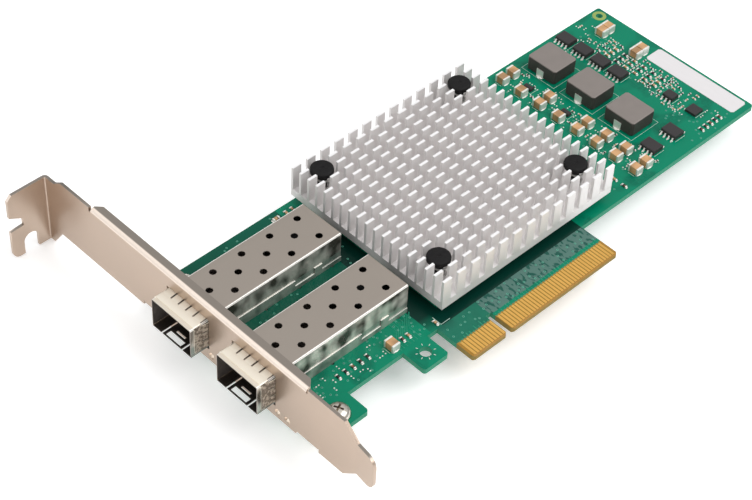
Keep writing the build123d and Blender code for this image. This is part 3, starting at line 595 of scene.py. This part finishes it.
def geometry_tree(name, inputs):
    """A geometry tree with named inputs, and the sockets that they arrive on."""
    tree = bpy.data.node_groups.new(name, "GeometryNodeTree")
    tree.interface.new_socket("Geometry", in_out="INPUT", socket_type="NodeSocketGeometry")
    for label, kind in inputs.items():
        tree.interface.new_socket(label, in_out="INPUT", socket_type=f"NodeSocket{kind}")
    tree.interface.new_socket("Geometry", in_out="OUTPUT", socket_type="NodeSocketGeometry")
    return tree, add_node(tree, "NodeGroupInput").outputs


def painted(tree, geometry, material):
    """Real meshes for a tree's instances, then their material."""
    real = add_node(tree, "GeometryNodeRealizeInstances", {0: geometry})
    return add_node(tree, "GeometryNodeSetMaterial", {"Geometry": real, "Material": material})


def grown(name, tree, start, values):
    """Runs a geometry tree on a starting mesh and gives the result as a plain mesh."""
    carrier = bpy.data.objects.new(name + "_start", start)
    bpy.context.scene.collection.objects.link(carrier)
    modifier = carrier.modifiers.new("Build", "NODES")
    modifier.node_group = tree
    for item in tree.interface.items_tree:
        if item.in_out == "INPUT" and item.name in values:
            modifier[item.identifier] = values[item.name]
    depsgraph = bpy.context.evaluated_depsgraph_get()
    mesh = bpy.data.meshes.new_from_object(carrier.evaluated_get(depsgraph), depsgraph=depsgraph)
    bpy.data.objects.remove(carrier)
    if not mesh.polygons:
        raise RuntimeError(f"{name} came out empty")
    return mesh


def copies_tree(name, shapes):
    """Tree that puts shapes, each one unit wide each way, on every point at that point's size and turn."""
    tree, given = geometry_tree(name, {f"Material {i}": "Material" for i in range(len(shapes))})
    size = add_node(tree, "GeometryNodeInputNamedAttribute", {"Name": "size"}, data_type="FLOAT_VECTOR")
    turn = add_node(tree, "GeometryNodeInputNamedAttribute", {"Name": "turn"}, data_type="FLOAT")
    upright = add_node(tree, "ShaderNodeCombineXYZ", {"Z": turn})
    turned = add_node(tree, "FunctionNodeEulerToRotation", {0: upright})
    whole = add_node(tree, "GeometryNodeJoinGeometry")
    for i, shape in enumerate(shapes):
        copies = add_node(tree, "GeometryNodeInstanceOnPoints", {
            "Points": given["Geometry"], "Instance": shape(tree), "Rotation": turned, "Scale": size})
        tree.links.new(painted(tree, copies, given[f"Material {i}"]).outputs[0], whole.inputs[0])
    add_node(tree, "NodeGroupOutput", {0: whole})
    return tree


def spots_mesh(name, spots):
    """Points for a tree to put copies on: each is (place, size, turn about Z), in millimetres and degrees."""
    mesh = bpy.data.meshes.new(name)
    mesh.from_pydata([Vector(place) * MM for place, size, turn in spots], [], [])
    mesh.attributes.new("size", "FLOAT_VECTOR", "POINT")
    mesh.attributes.new("turn", "FLOAT", "POINT")
    for i, (place, size, turn) in enumerate(spots):
        mesh.attributes["size"].data[i].vector = Vector(size) * MM
        mesh.attributes["turn"].data[i].value = math.radians(turn)
    return mesh


def scatter(name, spots, slot, *shapes, stands_for=()):
    """Copies of shapes, each with its material, at every spot: one piece."""
    tree = copies_tree(name + "_tree", [shape for shape, material in shapes])
    values = {f"Material {i}": material for i, (shape, material) in enumerate(shapes)}
    keep(name, grown(name, tree, spots_mesh(name, spots), values), stands_for=stands_for)


def free_spots(areas, gap, taken, seed):
    """Places in areas of the board, on a half-millimetre grid, clear of the taken boxes and of each other."""
    spots = []
    for number, ((low_x, low_y, high_x, high_y), amount) in enumerate(areas):
        dice = random.Random(seed + number)
        found = []
        for attempt in range(amount * 40):
            x = round(dice.uniform(low_x, high_x) * 2) / 2
            y = round(dice.uniform(low_y, high_y) * 2) / 2
            covered = any(low.x - gap < x < high.x + gap and low.y - gap < y < high.y + gap
                          for low, high in taken)
            if not covered and all(math.hypot(x - a, y - b) > 2 * gap for a, b in found):
                found.append((x, y))
            if len(found) == amount:
                break
        spots += found
    return spots


def parts_on_board():
    """Boxes of every part that stands on the board's component face."""
    nodes = ("capacitor_ends", "ceramic_capacitors", "diodes", "flat_chip", "inductor_terminals",
             "logic_chip_leads", "logic_chips", "power_inductor_1", "power_inductor_2", "power_inductor_3",
             "small_chip_parts", "transistor_leads", "transistors", "board_label", "bracket_screws",
             "cage_pan_1", "cage_pan_2")
    return [box for node in nodes for box in islands(node)]


def fin_tree(name):
    """Tree that stands an equal fin on every point of the start mesh."""
    tree, given = geometry_tree(name, {"Length": "Float", "Thickness": "Float", "Height": "Float",
                                       "Material": "Material"})
    size = add_node(tree, "ShaderNodeCombineXYZ", {
        "X": given["Length"], "Y": given["Thickness"], "Z": given["Height"]})
    rise = add_node(tree, "ShaderNodeVectorMath", {0: size, 1: (0, 0, 0.5)}, operation="MULTIPLY")
    block = add_node(tree, "GeometryNodeMeshCube", {"Size": size})
    fin = add_node(tree, "GeometryNodeTransform", {"Geometry": block, "Translation": rise})
    field = add_node(tree, "GeometryNodeInstanceOnPoints", {"Points": given["Geometry"], "Instance": fin})
    add_node(tree, "NodeGroupOutput", {0: painted(tree, field, given["Material"])})
    return tree


def line_tree(name):
    """Tree that lays a flat strip along every edge of the start mesh."""
    tree, given = geometry_tree(name, {"Width": "Float", "Height": "Float", "Material": "Material"})
    path = add_node(tree, "GeometryNodeMeshToCurve", {"Mesh": given["Geometry"]})
    upright = add_node(tree, "GeometryNodeSetCurveNormal", {"Curve": path}, mode="Z_UP")
    section = add_node(tree, "GeometryNodeCurvePrimitiveQuadrilateral", {
        "Width": given["Width"], "Height": given["Height"]})
    strip = add_node(tree, "GeometryNodeCurveToMesh", {
        "Curve": upright, "Profile Curve": section, "Fill Caps": True})
    add_node(tree, "NodeGroupOutput", {0: painted(tree, strip, given["Material"])})
    return tree


def strips(name, routes, width, height, material):
    """Flat strips along routes, each a list of places in millimetres that may close: one piece."""
    mesh = bpy.data.meshes.new(name)
    verts = []
    edges = []
    for route, closed in routes:
        start = len(verts)
        verts += [Vector(place) * MM for place in route]
        edges += [(start + i, start + i + 1) for i in range(len(route) - 1)]
        if closed:
            edges.append((len(verts) - 1, start))
    mesh.from_pydata(verts, edges, [])
    values = {"Width": width, "Height": height * MM, "Material": material}
    keep(name, grown(name, line_tree(name + "_tree"), mesh, values))


# Shapes that repeat, each in a box one unit wide each way


def placed(tree, geometry, spot, size):
    """A shape moved and scaled within its one-unit box."""
    return add_node(tree, "GeometryNodeTransform", {"Geometry": geometry, "Translation": spot, "Scale": size})


def soft_cube(tree):
    """A cube with eased edges, middle on the origin."""
    cube = add_node(tree, "GeometryNodeMeshCube", {"Size": (1, 1, 1)})
    eased = add_node(tree, "GeometryNodeSubdivisionSurface", {"Mesh": cube, "Level": 1, "Edge Crease": 0.8})
    return add_node(tree, "GeometryNodeSetShadeSmooth", {"Geometry": eased})


def block_shape(tree):
    """A block with eased edges that stands on its point."""
    return placed(tree, soft_cube(tree), (0, 0, 0.5), (1, 1, 1))


def chip_body_shape(tree):
    """The ceramic middle of a chip part."""
    return placed(tree, soft_cube(tree), (0, 0, 0.48), (0.62, 0.94, 0.94))


def chip_ends_shape(tree):
    """The two plated ends of a chip part, with solder drawn up them."""
    ends = add_node(tree, "GeometryNodeJoinGeometry")
    for way in (-1, 1):
        for spot, size in (((way * 0.39, 0, 0.5), (0.26, 1, 1)), ((way * 0.5, 0, 0.08), (0.36, 1.06, 0.16))):
            tree.links.new(placed(tree, soft_cube(tree), spot, size).outputs[0], ends.inputs[0])
    return ends


def bead_shape(tree):
    """A flattened bead, smooth, with its middle on its point."""
    ball = add_node(tree, "GeometryNodeMeshUVSphere", {"Segments": 8, "Rings": 5, "Radius": 0.5})
    return add_node(tree, "GeometryNodeSetShadeSmooth", {"Geometry": ball})


def bead_land_shape(tree):
    """A land with solder risen on it: a bead sunk part of the way below its point."""
    return placed(tree, bead_shape(tree), (0, 0, 0.3), (1, 1, 1))


def ring_shape(tree):
    """A flat ring with a hole of half its width."""
    path = add_node(tree, "GeometryNodeCurvePrimitiveCircle", {"Resolution": 9, "Radius": 0.375})
    section = add_node(tree, "GeometryNodeCurvePrimitiveQuadrilateral", {"Width": 0.25, "Height": 1.0})
    return add_node(tree, "GeometryNodeCurveToMesh", {
        "Curve": path, "Profile Curve": section, "Fill Caps": True})


def hole_shape(tree):
    """The dark middle of a small plated hole."""
    return add_node(tree, "GeometryNodeMeshCylinder", {"Vertices": 8, "Radius": 0.27, "Depth": 0.8})


def coil_shape(tree):
    """A coil spring of the CAD spring's size in millimetres, drawn in round wire."""
    path = add_node(tree, "GeometryNodeCurveSpiral", {
        "Resolution": 20, "Rotations": 2.0, "Start Radius": 2.05, "End Radius": 2.05, "Height": 4.85})
    wire = add_node(tree, "GeometryNodeCurvePrimitiveCircle", {"Resolution": 8, "Radius": 0.25})
    coil = add_node(tree, "GeometryNodeCurveToMesh", {
        "Curve": path, "Profile Curve": wire, "Fill Caps": True})
    return add_node(tree, "GeometryNodeSetShadeSmooth", {"Geometry": coil})


# Sizes and colours that a user would change


def tone(name, description, code):
    """A colour that a user may change."""
    return bpy.props.FloatVectorProperty(
        name=name, description=description, subtype="COLOR", size=4, min=0, max=1, default=colour(code))


def length(name, description, size, least=0.0):
    """A length that a user may change, with its default and its least value in millimetres."""
    return bpy.props.FloatProperty(
        name=name, description=description, unit="LENGTH", default=size * MM, min=least * MM)


class BoardSettings(bpy.types.PropertyGroup):
    mask_colour: tone("Mask over copper", "Solder mask where copper lies under it", "#007F60")
    bare_colour: tone("Mask over laminate", "Solder mask where there is no copper under it", "#03483A")
    print_colour: tone("Print", "White printed outlines round the parts", "#B9D6C8")
    track_width: length("Track width", "Width of the tracks that run up from the edge contacts", 0.28, 0.05)
    print_width: length("Print width", "Width of the printed outlines", 0.16, 0.05)
    via_size: length("Via size", "Outside diameter of the small plated holes", 0.62, 0.2)
    seed: bpy.props.IntProperty(
        name="Seed", description="Gives another spread of vias, lands and tiny chip parts", default=7)


class MetalSettings(bpy.types.PropertyGroup):
    gold_colour: tone("Gold", "Plating of the edge contacts", "#F1C068")
    nickel_colour: tone("Bracket nickel", "Dull nickel on the bracket", "#BFAC9C")
    cage_colour: tone("Cage nickel", "Dull nickel on the cages", "#B3A99F")
    wall_colour: tone("Cage walls", "Nickel on the cages' walls, which mirror the board", "#E9E6DC")
    collar_colour: tone("Collar nickel", "Bright nickel on the spring fingers", "#FAF0E0")
    aluminium_colour: tone("Aluminium", "Bare metal of the heat sink", "#EFECEB")
    tin_colour: tone("Tin", "Leads, plated ends and solder", "#F2F0EA")


class PartSettings(bpy.types.PropertyGroup):
    inductor_colour: tone("Inductor", "Pressed iron powder of the inductors", "#837B76")
    epoxy_colour: tone("Chip epoxy", "Mould compound of the chips", "#2E2B2C")
    ceramic_colour: tone("Ceramic", "Body of the large capacitors", "#BF9468")
    nylon_colour: tone("Nylon", "Push pins of the heat sink", "#0D0B0C")
    label_colour: tone("Label", "Blank label on the board", "#DEDBDC")
    edge_radius: length("Edge radius", "Radius that breaks the sharp edges of chips and capacitors", 0.1)


class StageSettings(bpy.types.PropertyGroup):
    floor_colour: tone("Floor", "Plain floor under the card", "#FAFAFA")
    paper_glow: bpy.props.FloatProperty(
        name="Paper glow", description="Light added to the floor as the camera sees it", default=0.3, min=0)
    key_power: bpy.props.FloatProperty(
        name="Key lamp", description="Power of the large soft lamp", unit="POWER", default=5.0, min=0)
    fill_power: bpy.props.FloatProperty(
        name="Fill lamp", description="Power of the second soft lamp", unit="POWER", default=1.2, min=0)
    sky_strength: bpy.props.FloatProperty(
        name="Room light", description="Strength of the light from all round", default=0.86, min=0)


# Operators, one for each piece or group of like pieces


class FoldSheetMetal(bpy.types.Operator):
    """Stands the bracket, cages and collars with their nickel finishes, and breaks the bracket's edges"""
    bl_idname = "card.fold_sheet_metal"
    bl_label = "Bracket, cages and collars"

    def execute(self, context):
        metals = context.scene.card_metals
        cage = rolled_cage(metals)
        collar = spring_nickel(metals)
        softened("bracket", bracket_nickel(metals), 0.12)
        for number in (1, 2):
            softened(f"cage_cover_{number}", cage)
            softened(f"cage_pan_{number}", cage)
            softened(f"spring_collar_{number}", collar)
        return {"FINISHED"}


class FillCages(bpy.types.Operator):
    """Puts the contact blades in the host connectors, and paints the connectors and the lamps"""
    bl_idname = "card.fill_cages"
    bl_label = "Connectors and lamps"

    def execute(self, context):
        # glass-filled plastic, matt enough to keep the bays dark
        black = plain_plastic("Moulded connector plastic", colour("#161616"), 0.45)
        repaint(black, "host_connector_1", "host_connector_2")
        # clear resin passes on the light of the paper behind it; that light is a painted glow, so it looks
        # lit
        resin = plain_plastic("Clear cast lamp resin", colour("#F4F3E8"), 0.2, **{
            "Emission Color": (1, 1, 0.96, 1), "Emission Strength": 2.5})
        repaint(resin, "indicator_lamps")
        gold = hard_gold(context.scene.card_metals)
        blade, depth, count, pitch, rows = (4.2, 0.4, 0.15), 2.4, 10, 0.8, (2.15, 3.9)
        for number in (1, 2):
            low, high = box_mm(f"host_connector_{number}")
            first = (low.y + high.y) / 2 - (count - 1) / 2 * pitch
            blades = [((low.x + depth, first + i * pitch, height), blade, 0)
                      for i in range(count) for height in rows]
            scatter(f"host_contacts_{number}", blades, "gold_plate", (block_shape, gold))
        return {"FINISHED"}


class DriveScrews(bpy.types.Operator):
    """Stands the bracket screws with domed heads and cross recesses"""
    bl_idname = "card.drive_screws"
    bl_label = "Bracket screws"

    def execute(self, context):
        # headed steel, plated bright, so that the domes take crisp glints
        steel = plated_sheet("Bright nickel on screw steel", colour("#D8D1C6"), 0.24, 0.2, (1, 1, 1), 0.004)
        # the dome's radii are shares of the head's, and its drops are millimetres
        dome = ((0, 0), (0.35, 0.05), (0.62, 0.32), (0.82, 0.8), (0.94, 1.4))
        shank, point, arm_width = 1.45, 0.3, 0.75
        screws = []
        for turn, (low, high) in zip((25, 60), islands("bracket_screws")):
            edge, top = (high.x - low.x) / 2, high.z
            outline = [(edge * share, top - drop) for share, drop in dome]
            outline += [(edge * 0.98, 0.45), (edge, 0.2), (edge, 0), (shank, 0), (shank, low.z + point),
                        (shank - point, low.z), (0, low.z)]
            screw = lathe(outline, centred(low, high, 0))
            for arm in (turn, turn + 90):
                screw = carved(screw, recess_blade(centred(low, high, top), edge * 1.15, arm_width, arm))
            screws.append(screw)
        whole = joined("bracket_screws_turned", screws)
        keep("bracket_screws_turned", whole, steel, ["bracket_screws"])
        return {"FINISHED"}


class FinishBoard(bpy.types.Operator):
    """Paints the circuit board, its contacts and its blank label"""
    bl_idname = "card.finish_board"
    bl_label = "Board and contacts"

    def execute(self, context):
        repaint(solder_mask(context.scene.card_board), "circuit_board")
        repaint(hard_gold(context.scene.card_metals), "edge_contacts")
        repaint(label_film(context.scene.card_parts), "board_label")
        return {"FINISHED"}


class DrillVias(bpy.types.Operator):
    """Scatters the small plated holes over the free parts of both faces, and rings the corner hole"""
    bl_idname = "card.drill_vias"
    bl_label = "Plated holes"

    def execute(self, context):
        board = context.scene.card_board
        # mask thins over a rim of tin, so the rim is paler than the board, and a bore is in shade
        rim = plain_plastic("Mask cured over via rims", colour("#58B096"), 0.3)
        dark = plain_plastic("Shaded via bores", colour("#0A1613"), 0.6)
        places = free_spots(VIA_AREAS, 0.55, parts_on_board(), board.seed)
        places += [(x, y) for y, row in VIA_ROWS for x in row]
        width = board.via_size / MM
        spots = [((x, y, height), (width, width, 0.03), 0)
                 for height in (0.012, SOLDER_FACE - 0.012) for x, y in places]
        scatter("board_vias", spots, "solder_mask", (ring_shape, rim), (hole_shape, dark))
        # bare copper under clear flux, with a painted yellow-green reflection of the mask round it
        copper = plain_plastic("Rolled bare copper", colour("#9DB463"), 0.4, Metallic=0.4)
        bore, reach, thick, sunk = 1.0, 2.0, 0.05, 0.005
        section = [(bore, thick), (reach, thick), (reach, 0), (bore, 0), (bore, thick)]
        rings = [lathe(section, (*CORNER_HOLE, foot)) for foot in (-sunk, SOLDER_FACE + sunk - thick)]
        keep("corner_hole_ring", joined("corner_hole_ring", rings), copper)
        return {"FINISHED"}


class RouteTracks(bpy.types.Operator):
    """Lays the masked tracks that run up from the edge contacts and out of the cages"""
    bl_idname = "card.route_tracks"
    bl_label = "Tracks"

    def execute(self, context):
        board = context.scene.card_board
        dice = random.Random(board.seed)
        # mask over raised copper is a little brighter and glossier than on the board round it
        over_copper = plain_plastic("Mask cured over tracks", colour("#128C6C"), 0.28)
        rise = 0.01
        routes = []
        for low, high in islands("edge_contacts"):
            height = rise if high.z > 0 else SOLDER_FACE - rise
            x = (low.x + high.x) / 2
            end = high.y + dice.uniform(0.6, 2.0)
            routes.append(([(x, high.y - 0.1, height), (x, end, height)], False))
        # seven more run up to the lower cage, and step aside at 45 degrees on their way
        aside, start, end = 3.5, 13.2, 21.0
        for i in range(7):
            x, bend = -24.0 + i * 1.1, 15.0 + 0.4 * i
            routes.append(([(x, start, rise), (x, bend, rise), (x + aside, bend + aside, rise),
                            (x + aside, end, rise)], False))
        strips("board_tracks", routes, board.track_width, 0.03, over_copper)
        return {"FINISHED"}


class PrintLegend(bpy.types.Operator):
    """Prints thin white outlines round the parts"""
    bl_idname = "card.print_legend"
    bl_label = "Printed outlines"

    def execute(self, context):
        board = context.scene.card_board
        # thin enough to take a little of the green below it
        ink = plain_plastic("Printed legend ink", board.print_colour, 0.6, 0.1, (0.9, 1.1))
        rise = 0.012
        routes = []

        def line(points, closed=False):
            routes.append(([(x, y, rise) for x, y in points], closed))

        # a frame round each inductor, and an angle at the heat sink's near corner
        gap, corner, arm = 0.9, 1.6, 3.0
        for number in (1, 2, 3):
            low, high = box_mm(f"power_inductor_{number}")
            left, right, near, far = low.x - gap, high.x + gap, low.y - gap, high.y + gap
            line([(left, near), (right, near), (right, far), (left, far)], True)
        x, y = SINK_LOW.x - corner, SINK_LOW.y - corner
        line([(x, y + arm), (x, y), (x + arm, y)])
        # a line at both ends of each chip, a U at one end of each diode, and a line beside each capacitor
        chip_gap, diode_gap, reach, side_gap = 0.35, 0.5, 0.8, 0.45
        for node in ("logic_chips", "transistors", "flat_chip"):
            for low, high in islands(node):
                for y in (low.y - chip_gap, high.y + chip_gap):
                    line([(low.x, y), (high.x, y)])
        for low, high in islands("diodes"):
            left, right, near, far = low.x - diode_gap, high.x + diode_gap, low.y - diode_gap, low.y + reach
            line([(left, far), (left, near), (right, near), (right, far)])
        for low, high in islands("ceramic_capacitors"):
            line([(low.x - side_gap, low.y), (low.x - side_gap, high.y)])
        strips("board_legend", routes, board.print_width, 0.02, ink)
        return {"FINISHED"}


class TinLands(bpy.types.Operator):
    """Tins the lands round the parts' ends, the spare lands and the ticks of the retention hole"""
    bl_idname = "card.tin_lands"
    bl_label = "Solder lands"

    def execute(self, context):
        tin = bright_tin(context.scene.card_metals)
        rise = 0.01
        # each land reaches a little past what is soldered to it
        lands = [(centred(low, high, rise), (high.x - low.x + 0.3, high.y - low.y + 0.6, 0.12), 0)
                 for low, high in islands("capacitor_ends")]
        for node, size in (("inductor_terminals", (3.9, 3.2, 0.1)), ("transistor_leads", (1.5, 0.62, 0.1)),
                           ("logic_chip_leads", (1.5, 0.62, 0.1))):
            lands += [(centred(low, high, rise), size, 0) for low, high in islands(node)]
        ticks, reach = 8, 2.35
        for i in range(ticks):
            turn = 360 / ticks * (i + 0.5)
            x = RETENTION_HOLE[0] + reach * math.cos(math.radians(turn))
            y = RETENTION_HOLE[1] + reach * math.sin(math.radians(turn))
            lands.append(((x, y, rise), (0.75, 0.2, 0.08), turn))
        spare = free_spots(LAND_AREAS, 0.75, parts_on_board(), context.scene.card_board.seed + 40)
        for i, (x, y) in enumerate(spare):
            step = (0.0, 0.42) if i % 3 else (0.42, 0.0)
            lands += [((x + way * step[0], y + way * step[1], rise), (0.5, 0.42, 0.14), 0) for way in (-1, 1)]
        scatter("solder_lands", lands, "tin_plate", (bead_land_shape, tin))
        joints = [((FIRST_PIN + i * PIN_PITCH, wall, SOLDER_FACE - 0.05), (1.5, 1.5, 0.7), 0)
                  for low, high in (box_mm("cage_pan_1"), box_mm("cage_pan_2"))
                  for wall in (low.y + PIN_INSET, high.y - PIN_INSET) for i in range(4)]
        scatter("pin_joints", joints, "tin_plate", (bead_shape, tin))
        return {"FINISHED"}


class CutHeatSink(bpy.types.Operator):
    """Stands the heat sink's field of fins on its base plate, with their edges broken"""
    bl_idname = "card.cut_heat_sink"
    bl_label = "Heat sink"

    def execute(self, context):
        aluminium = cut_aluminium(context.scene.card_metals)
        # the fins are found by a cut just above the plate, and their feet go a little way into it
        root = SINK_BASE_TOP - 0.1
        fins = boxes_of(part_of("heat_sink", SINK_BASE_TOP + 0.2, above=True))
        size = fins[0][1] - fins[0][0]
        feet = bpy.data.meshes.new("fin_feet")
        feet.from_pydata([centred(low, high, root) * MM for low, high in fins], [], [])
        values = {"Length": size.x * MM, "Thickness": size.y * MM, "Height": (SINK_HIGH.z - root) * MM,
                  "Material": aluminium}
        field = grown("fins", fin_tree("fin_tree"), feet, values)
        sink = joined("heat_sink_soft", [part_of("heat_sink", SINK_BASE_TOP - 0.001), field])
        keep("heat_sink_soft", sink, aluminium, ["heat_sink"], edge=0.08, segments=1)
        return {"FINISHED"}


class FitPushPins(bpy.types.Operator):
    """Stands the push pins with turned heads, on coil springs of round wire"""
    bl_idname = "card.fit_push_pins"
    bl_label = "Push pins and springs"

    def execute(self, context):
        heads = []
        for low, high in islands("push_pins"):
            edge, top = (high.x - low.x) / 2, high.z
            dimple = [(0, top - 0.16), (0.45, top - 0.16), (0.6, top - 0.02)]
            crown = [(edge - inset, top - drop) for inset, drop in (
                (0.62, 0), (0.3, 0.08), (0.08, 0.3), (0, 0.6), (0, 1.15), (0.1, 1.3))]
            outline = [*dimple, *crown, (0, top - 1.3)]
            heads.append(lathe(outline, centred(low, high, 0)))
        neck = SINK_HIGH.z - 1.5
        whole = joined("push_pins_moulded", [*heads, part_of("push_pins", neck)])
        nylon = black_nylon(context.scene.card_parts)
        keep("push_pins_moulded", whole, nylon, ["push_pins"])
        # drawn steel wire: grey and fairly bright, with fine draw lines
        wire = plated_sheet("Drawn spring wire", colour("#B4B2AF"), 0.3, 0.1, (1, 1, 6), 0.003)
        overhang, wire_radius = 0.11, 0.28
        coils = [(centred(low, high, low.z + wire_radius) + Vector((overhang, 0, 0)), (1, 1, 1), 0)
                 for low, high in islands("push_pin_springs")]
        scatter("push_pin_coils", coils, "spring_steel", (coil_shape, wire), stands_for=["push_pin_springs"])
        return {"FINISHED"}


class MountParts(bpy.types.Operator):
    """Stands the inductors, chips and large capacitors with eased edges, and paints what lies beside them"""
    bl_idname = "card.mount_parts"
    bl_label = "Inductors, chips and capacitors"

    def execute(self, context):
        parts = context.scene.card_parts
        radius = parts.edge_radius / MM
        powder = pressed_iron(parts)
        for number in (1, 2, 3):
            softened(f"power_inductor_{number}", powder, 0.3, segments=3)
        tin = bright_tin(context.scene.card_metals)
        softened("ceramic_capacitors", fired_ceramic(parts), radius)
        softened("capacitor_ends", tin, radius)
        epoxy = moulded_epoxy(parts)
        for node in ("transistors", "logic_chips", "flat_chip", "diodes"):
            softened(node, epoxy, radius)
        repaint(tin, "transistor_leads", "logic_chip_leads", "inductor_terminals")
        # under the heat sink: green laminate, a soft grey pad that takes no shine, and a satin metal lid
        repaint(plain_plastic("Cured chip substrate", colour("#2C5A3E"), 0.4), "controller_chip_substrate")
        repaint(plain_plastic("Soft cast thermal pad", colour("#8C8F96"), 0.8), "thermal_pad")
        repaint(plated_sheet("Nickel on stamped copper", colour("#B8B6B2"), 0.35, 0.2, (1, 1, 1), 0.005),
                "controller_chip_lid")
        return {"FINISHED"}


class PlaceChipParts(bpy.types.Operator):
    """Stands the small chip parts with plated ends, and the tiniest ones among them"""
    bl_idname = "card.place_chip_parts"
    bl_label = "Small chip parts"

    def execute(self, context):
        shapes = (chip_body_shape, mixed_ceramic()), (chip_ends_shape, bright_tin(context.scene.card_metals))
        spots = [(centred(low, high, 0), (high.y - low.y, high.x - low.x, high.z), 90)
                 for low, high in islands("small_chip_parts")]
        scatter("chip_parts", spots, "small_part_body", *shapes, stands_for=["small_chip_parts"])
        tiny = free_spots(CHIP_AREAS, 0.7, parts_on_board(), context.scene.card_board.seed + 80)
        spots = [((x, y, 0), (1.0, 0.5, 0.35), 90 * (i % 2)) for i, (x, y) in enumerate(tiny)]
        scatter("tiny_chip_parts", spots + UPPER_CHIPS, "small_part_body", *shapes)
        return {"FINISHED"}


class SetStage(bpy.types.Operator):
    """Lays the floor and sets the lamps, the room light and the camera"""
    bl_idname = "card.set_stage"
    bl_label = "Stage"

    def execute(self, context):
        scene = context.scene
        stage = scene.card_stage
        low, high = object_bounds()
        self.lay_floor(scene, stage, low.z - 0.0005)
        self.light_room(scene, stage)
        # each lamp's place in metres from the card's middle, its width and its power
        self.hang_lamp(scene, "key", (low + high) / 2, Vector((0.30, -0.55, 0.80)), 0.7, stage.key_power)
        self.hang_lamp(scene, "fill", (low + high) / 2, Vector((-0.65, 0.10, 0.55)), 0.6, stage.fill_power)
        self.set_camera(scene)
        scene.view_settings.view_transform = "Standard"
        return {"FINISHED"}

    def lay_floor(self, scene, stage, height):
        """Lays a wide sheet of white paper, which glows a little to the camera and to what mirrors it."""
        reach = 6.0
        mesh = bpy.data.meshes.new("floor")
        corners = [(x * reach, y * reach, height) for x, y in ((-1, -1), (1, -1), (1, 1), (-1, 1))]
        mesh.from_pydata(corners, [], [(0, 1, 2, 3)])
        floor = bpy.data.objects.new("floor", mesh)
        scene.collection.objects.link(floor)
        material, tree, place = open_material("Seamless paper")
        rays = add_node(tree, "ShaderNodeLightPath").outputs
        seen = rays["Is Camera Ray"]
        for kind in ("Is Glossy Ray", "Is Transmission Ray"):
            seen = add_node(tree, "ShaderNodeMath", {0: seen, 1: rays[kind]}, operation="MAXIMUM")
        glow = add_node(tree, "ShaderNodeMath", {0: seen, 1: stage.paper_glow}, operation="MULTIPLY")
        values = wear(tree, place, stage.floor_colour, 0.85, 300.0, (0.99, 1.01))
        shader = add_node(tree, "ShaderNodeBsdfPrincipled", {
            "Emission Color": (1, 1, 1, 1), "Emission Strength": glow, **values})
        add_node(tree, "ShaderNodeOutputMaterial", {"Surface": shader})
        mesh.materials.append(material)
        floor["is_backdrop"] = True

    def light_room(self, scene, stage):
        """Lights the card softly from all round, and whiter from above."""
        room = bpy.data.worlds.new("Room")
        room.use_nodes = True
        tree = room.node_tree
        tree.nodes.clear()
        way = add_node(tree, "ShaderNodeTexCoord").outputs["Generated"]
        height = add_node(tree, "ShaderNodeSeparateXYZ", {0: way}).outputs["Z"]
        rise = add_node(tree, "ShaderNodeMapRange", {"Value": height, "From Min": -0.1, "From Max": 0.9})
        sky = coats(tree, colour("#9A9C9E"), (rise, colour("#FFFFFF")))
        glow = add_node(tree, "ShaderNodeBackground", {"Color": sky, "Strength": stage.sky_strength})
        add_node(tree, "ShaderNodeOutputWorld", {"Surface": glow})
        scene.world = room

    def hang_lamp(self, scene, name, middle, spot, size, power):
        """Hangs a square soft lamp that looks at the card."""
        data = bpy.data.lights.new(name, "AREA")
        data.shape = "SQUARE"
        data.size = size
        data.energy = power
        lamp = bpy.data.objects.new(name, data)
        lamp.location = middle + spot
        lamp.rotation_euler = (-spot).to_track_quat("-Z", "Y").to_euler()
        scene.collection.objects.link(lamp)

    def set_camera(self, scene):
        """Sets the photograph's view: the card's zero as its camera sees it, and turns about Z, X and Z."""
        data = bpy.data.cameras.new("camera")
        data.lens = 95.0
        data.sensor_width = 36.0
        camera = bpy.data.objects.new("camera", data)
        scene.collection.objects.link(camera)
        turn = Matrix.Identity(3)
        for degrees, axis in ((-3.1276, "Z"), (-44.5095, "X"), (46.2639, "Z")):
            turn = turn @ Matrix.Rotation(math.radians(degrees), 3, axis)
        zero = Vector((32.5117, -19.6337, -480.1623)) * MM
        camera.matrix_world = (Matrix.Translation(zero) @ turn.to_4x4()).inverted()
        scene.camera = camera


STEPS = (FoldSheetMetal, FillCages, DriveScrews, FinishBoard, DrillVias, RouteTracks, PrintLegend, TinLands,
         CutHeatSink, FitPushPins, MountParts, PlaceChipParts, SetStage)
GROUPS = {"card_board": BoardSettings, "card_metals": MetalSettings, "card_parts": PartSettings,
          "card_stage": StageSettings}


class CardPanel(bpy.types.Panel):
    """Lists the card's settings and the steps that build it"""
    bl_idname = "VIEW3D_PT_network_card"
    bl_label = "Network Interface Card"
    bl_space_type = "VIEW_3D"
    bl_region_type = "UI"
    bl_category = "Card"

    def draw(self, context):
        for step in STEPS:
            self.layout.operator(step.bl_idname)
        for name, group in GROUPS.items():
            column = self.layout.column()
            for field in group.__annotations__:
                column.prop(getattr(context.scene, name), field)


def register():
    for kind in (*GROUPS.values(), *STEPS, CardPanel):
        bpy.utils.register_class(kind)
    for name, group in GROUPS.items():
        setattr(bpy.types.Scene, name, bpy.props.PointerProperty(type=group))


def unregister():
    for name in GROUPS:
        delattr(bpy.types.Scene, name)
    for kind in (CardPanel, *reversed(STEPS), *GROUPS.values()):
        bpy.utils.unregister_class(kind)


def main():
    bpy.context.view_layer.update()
    register()
    for step in STEPS:
        group, name = step.bl_idname.split(".")
        getattr(getattr(bpy.ops, group), name)()


if __name__ == "__main__":
    main()
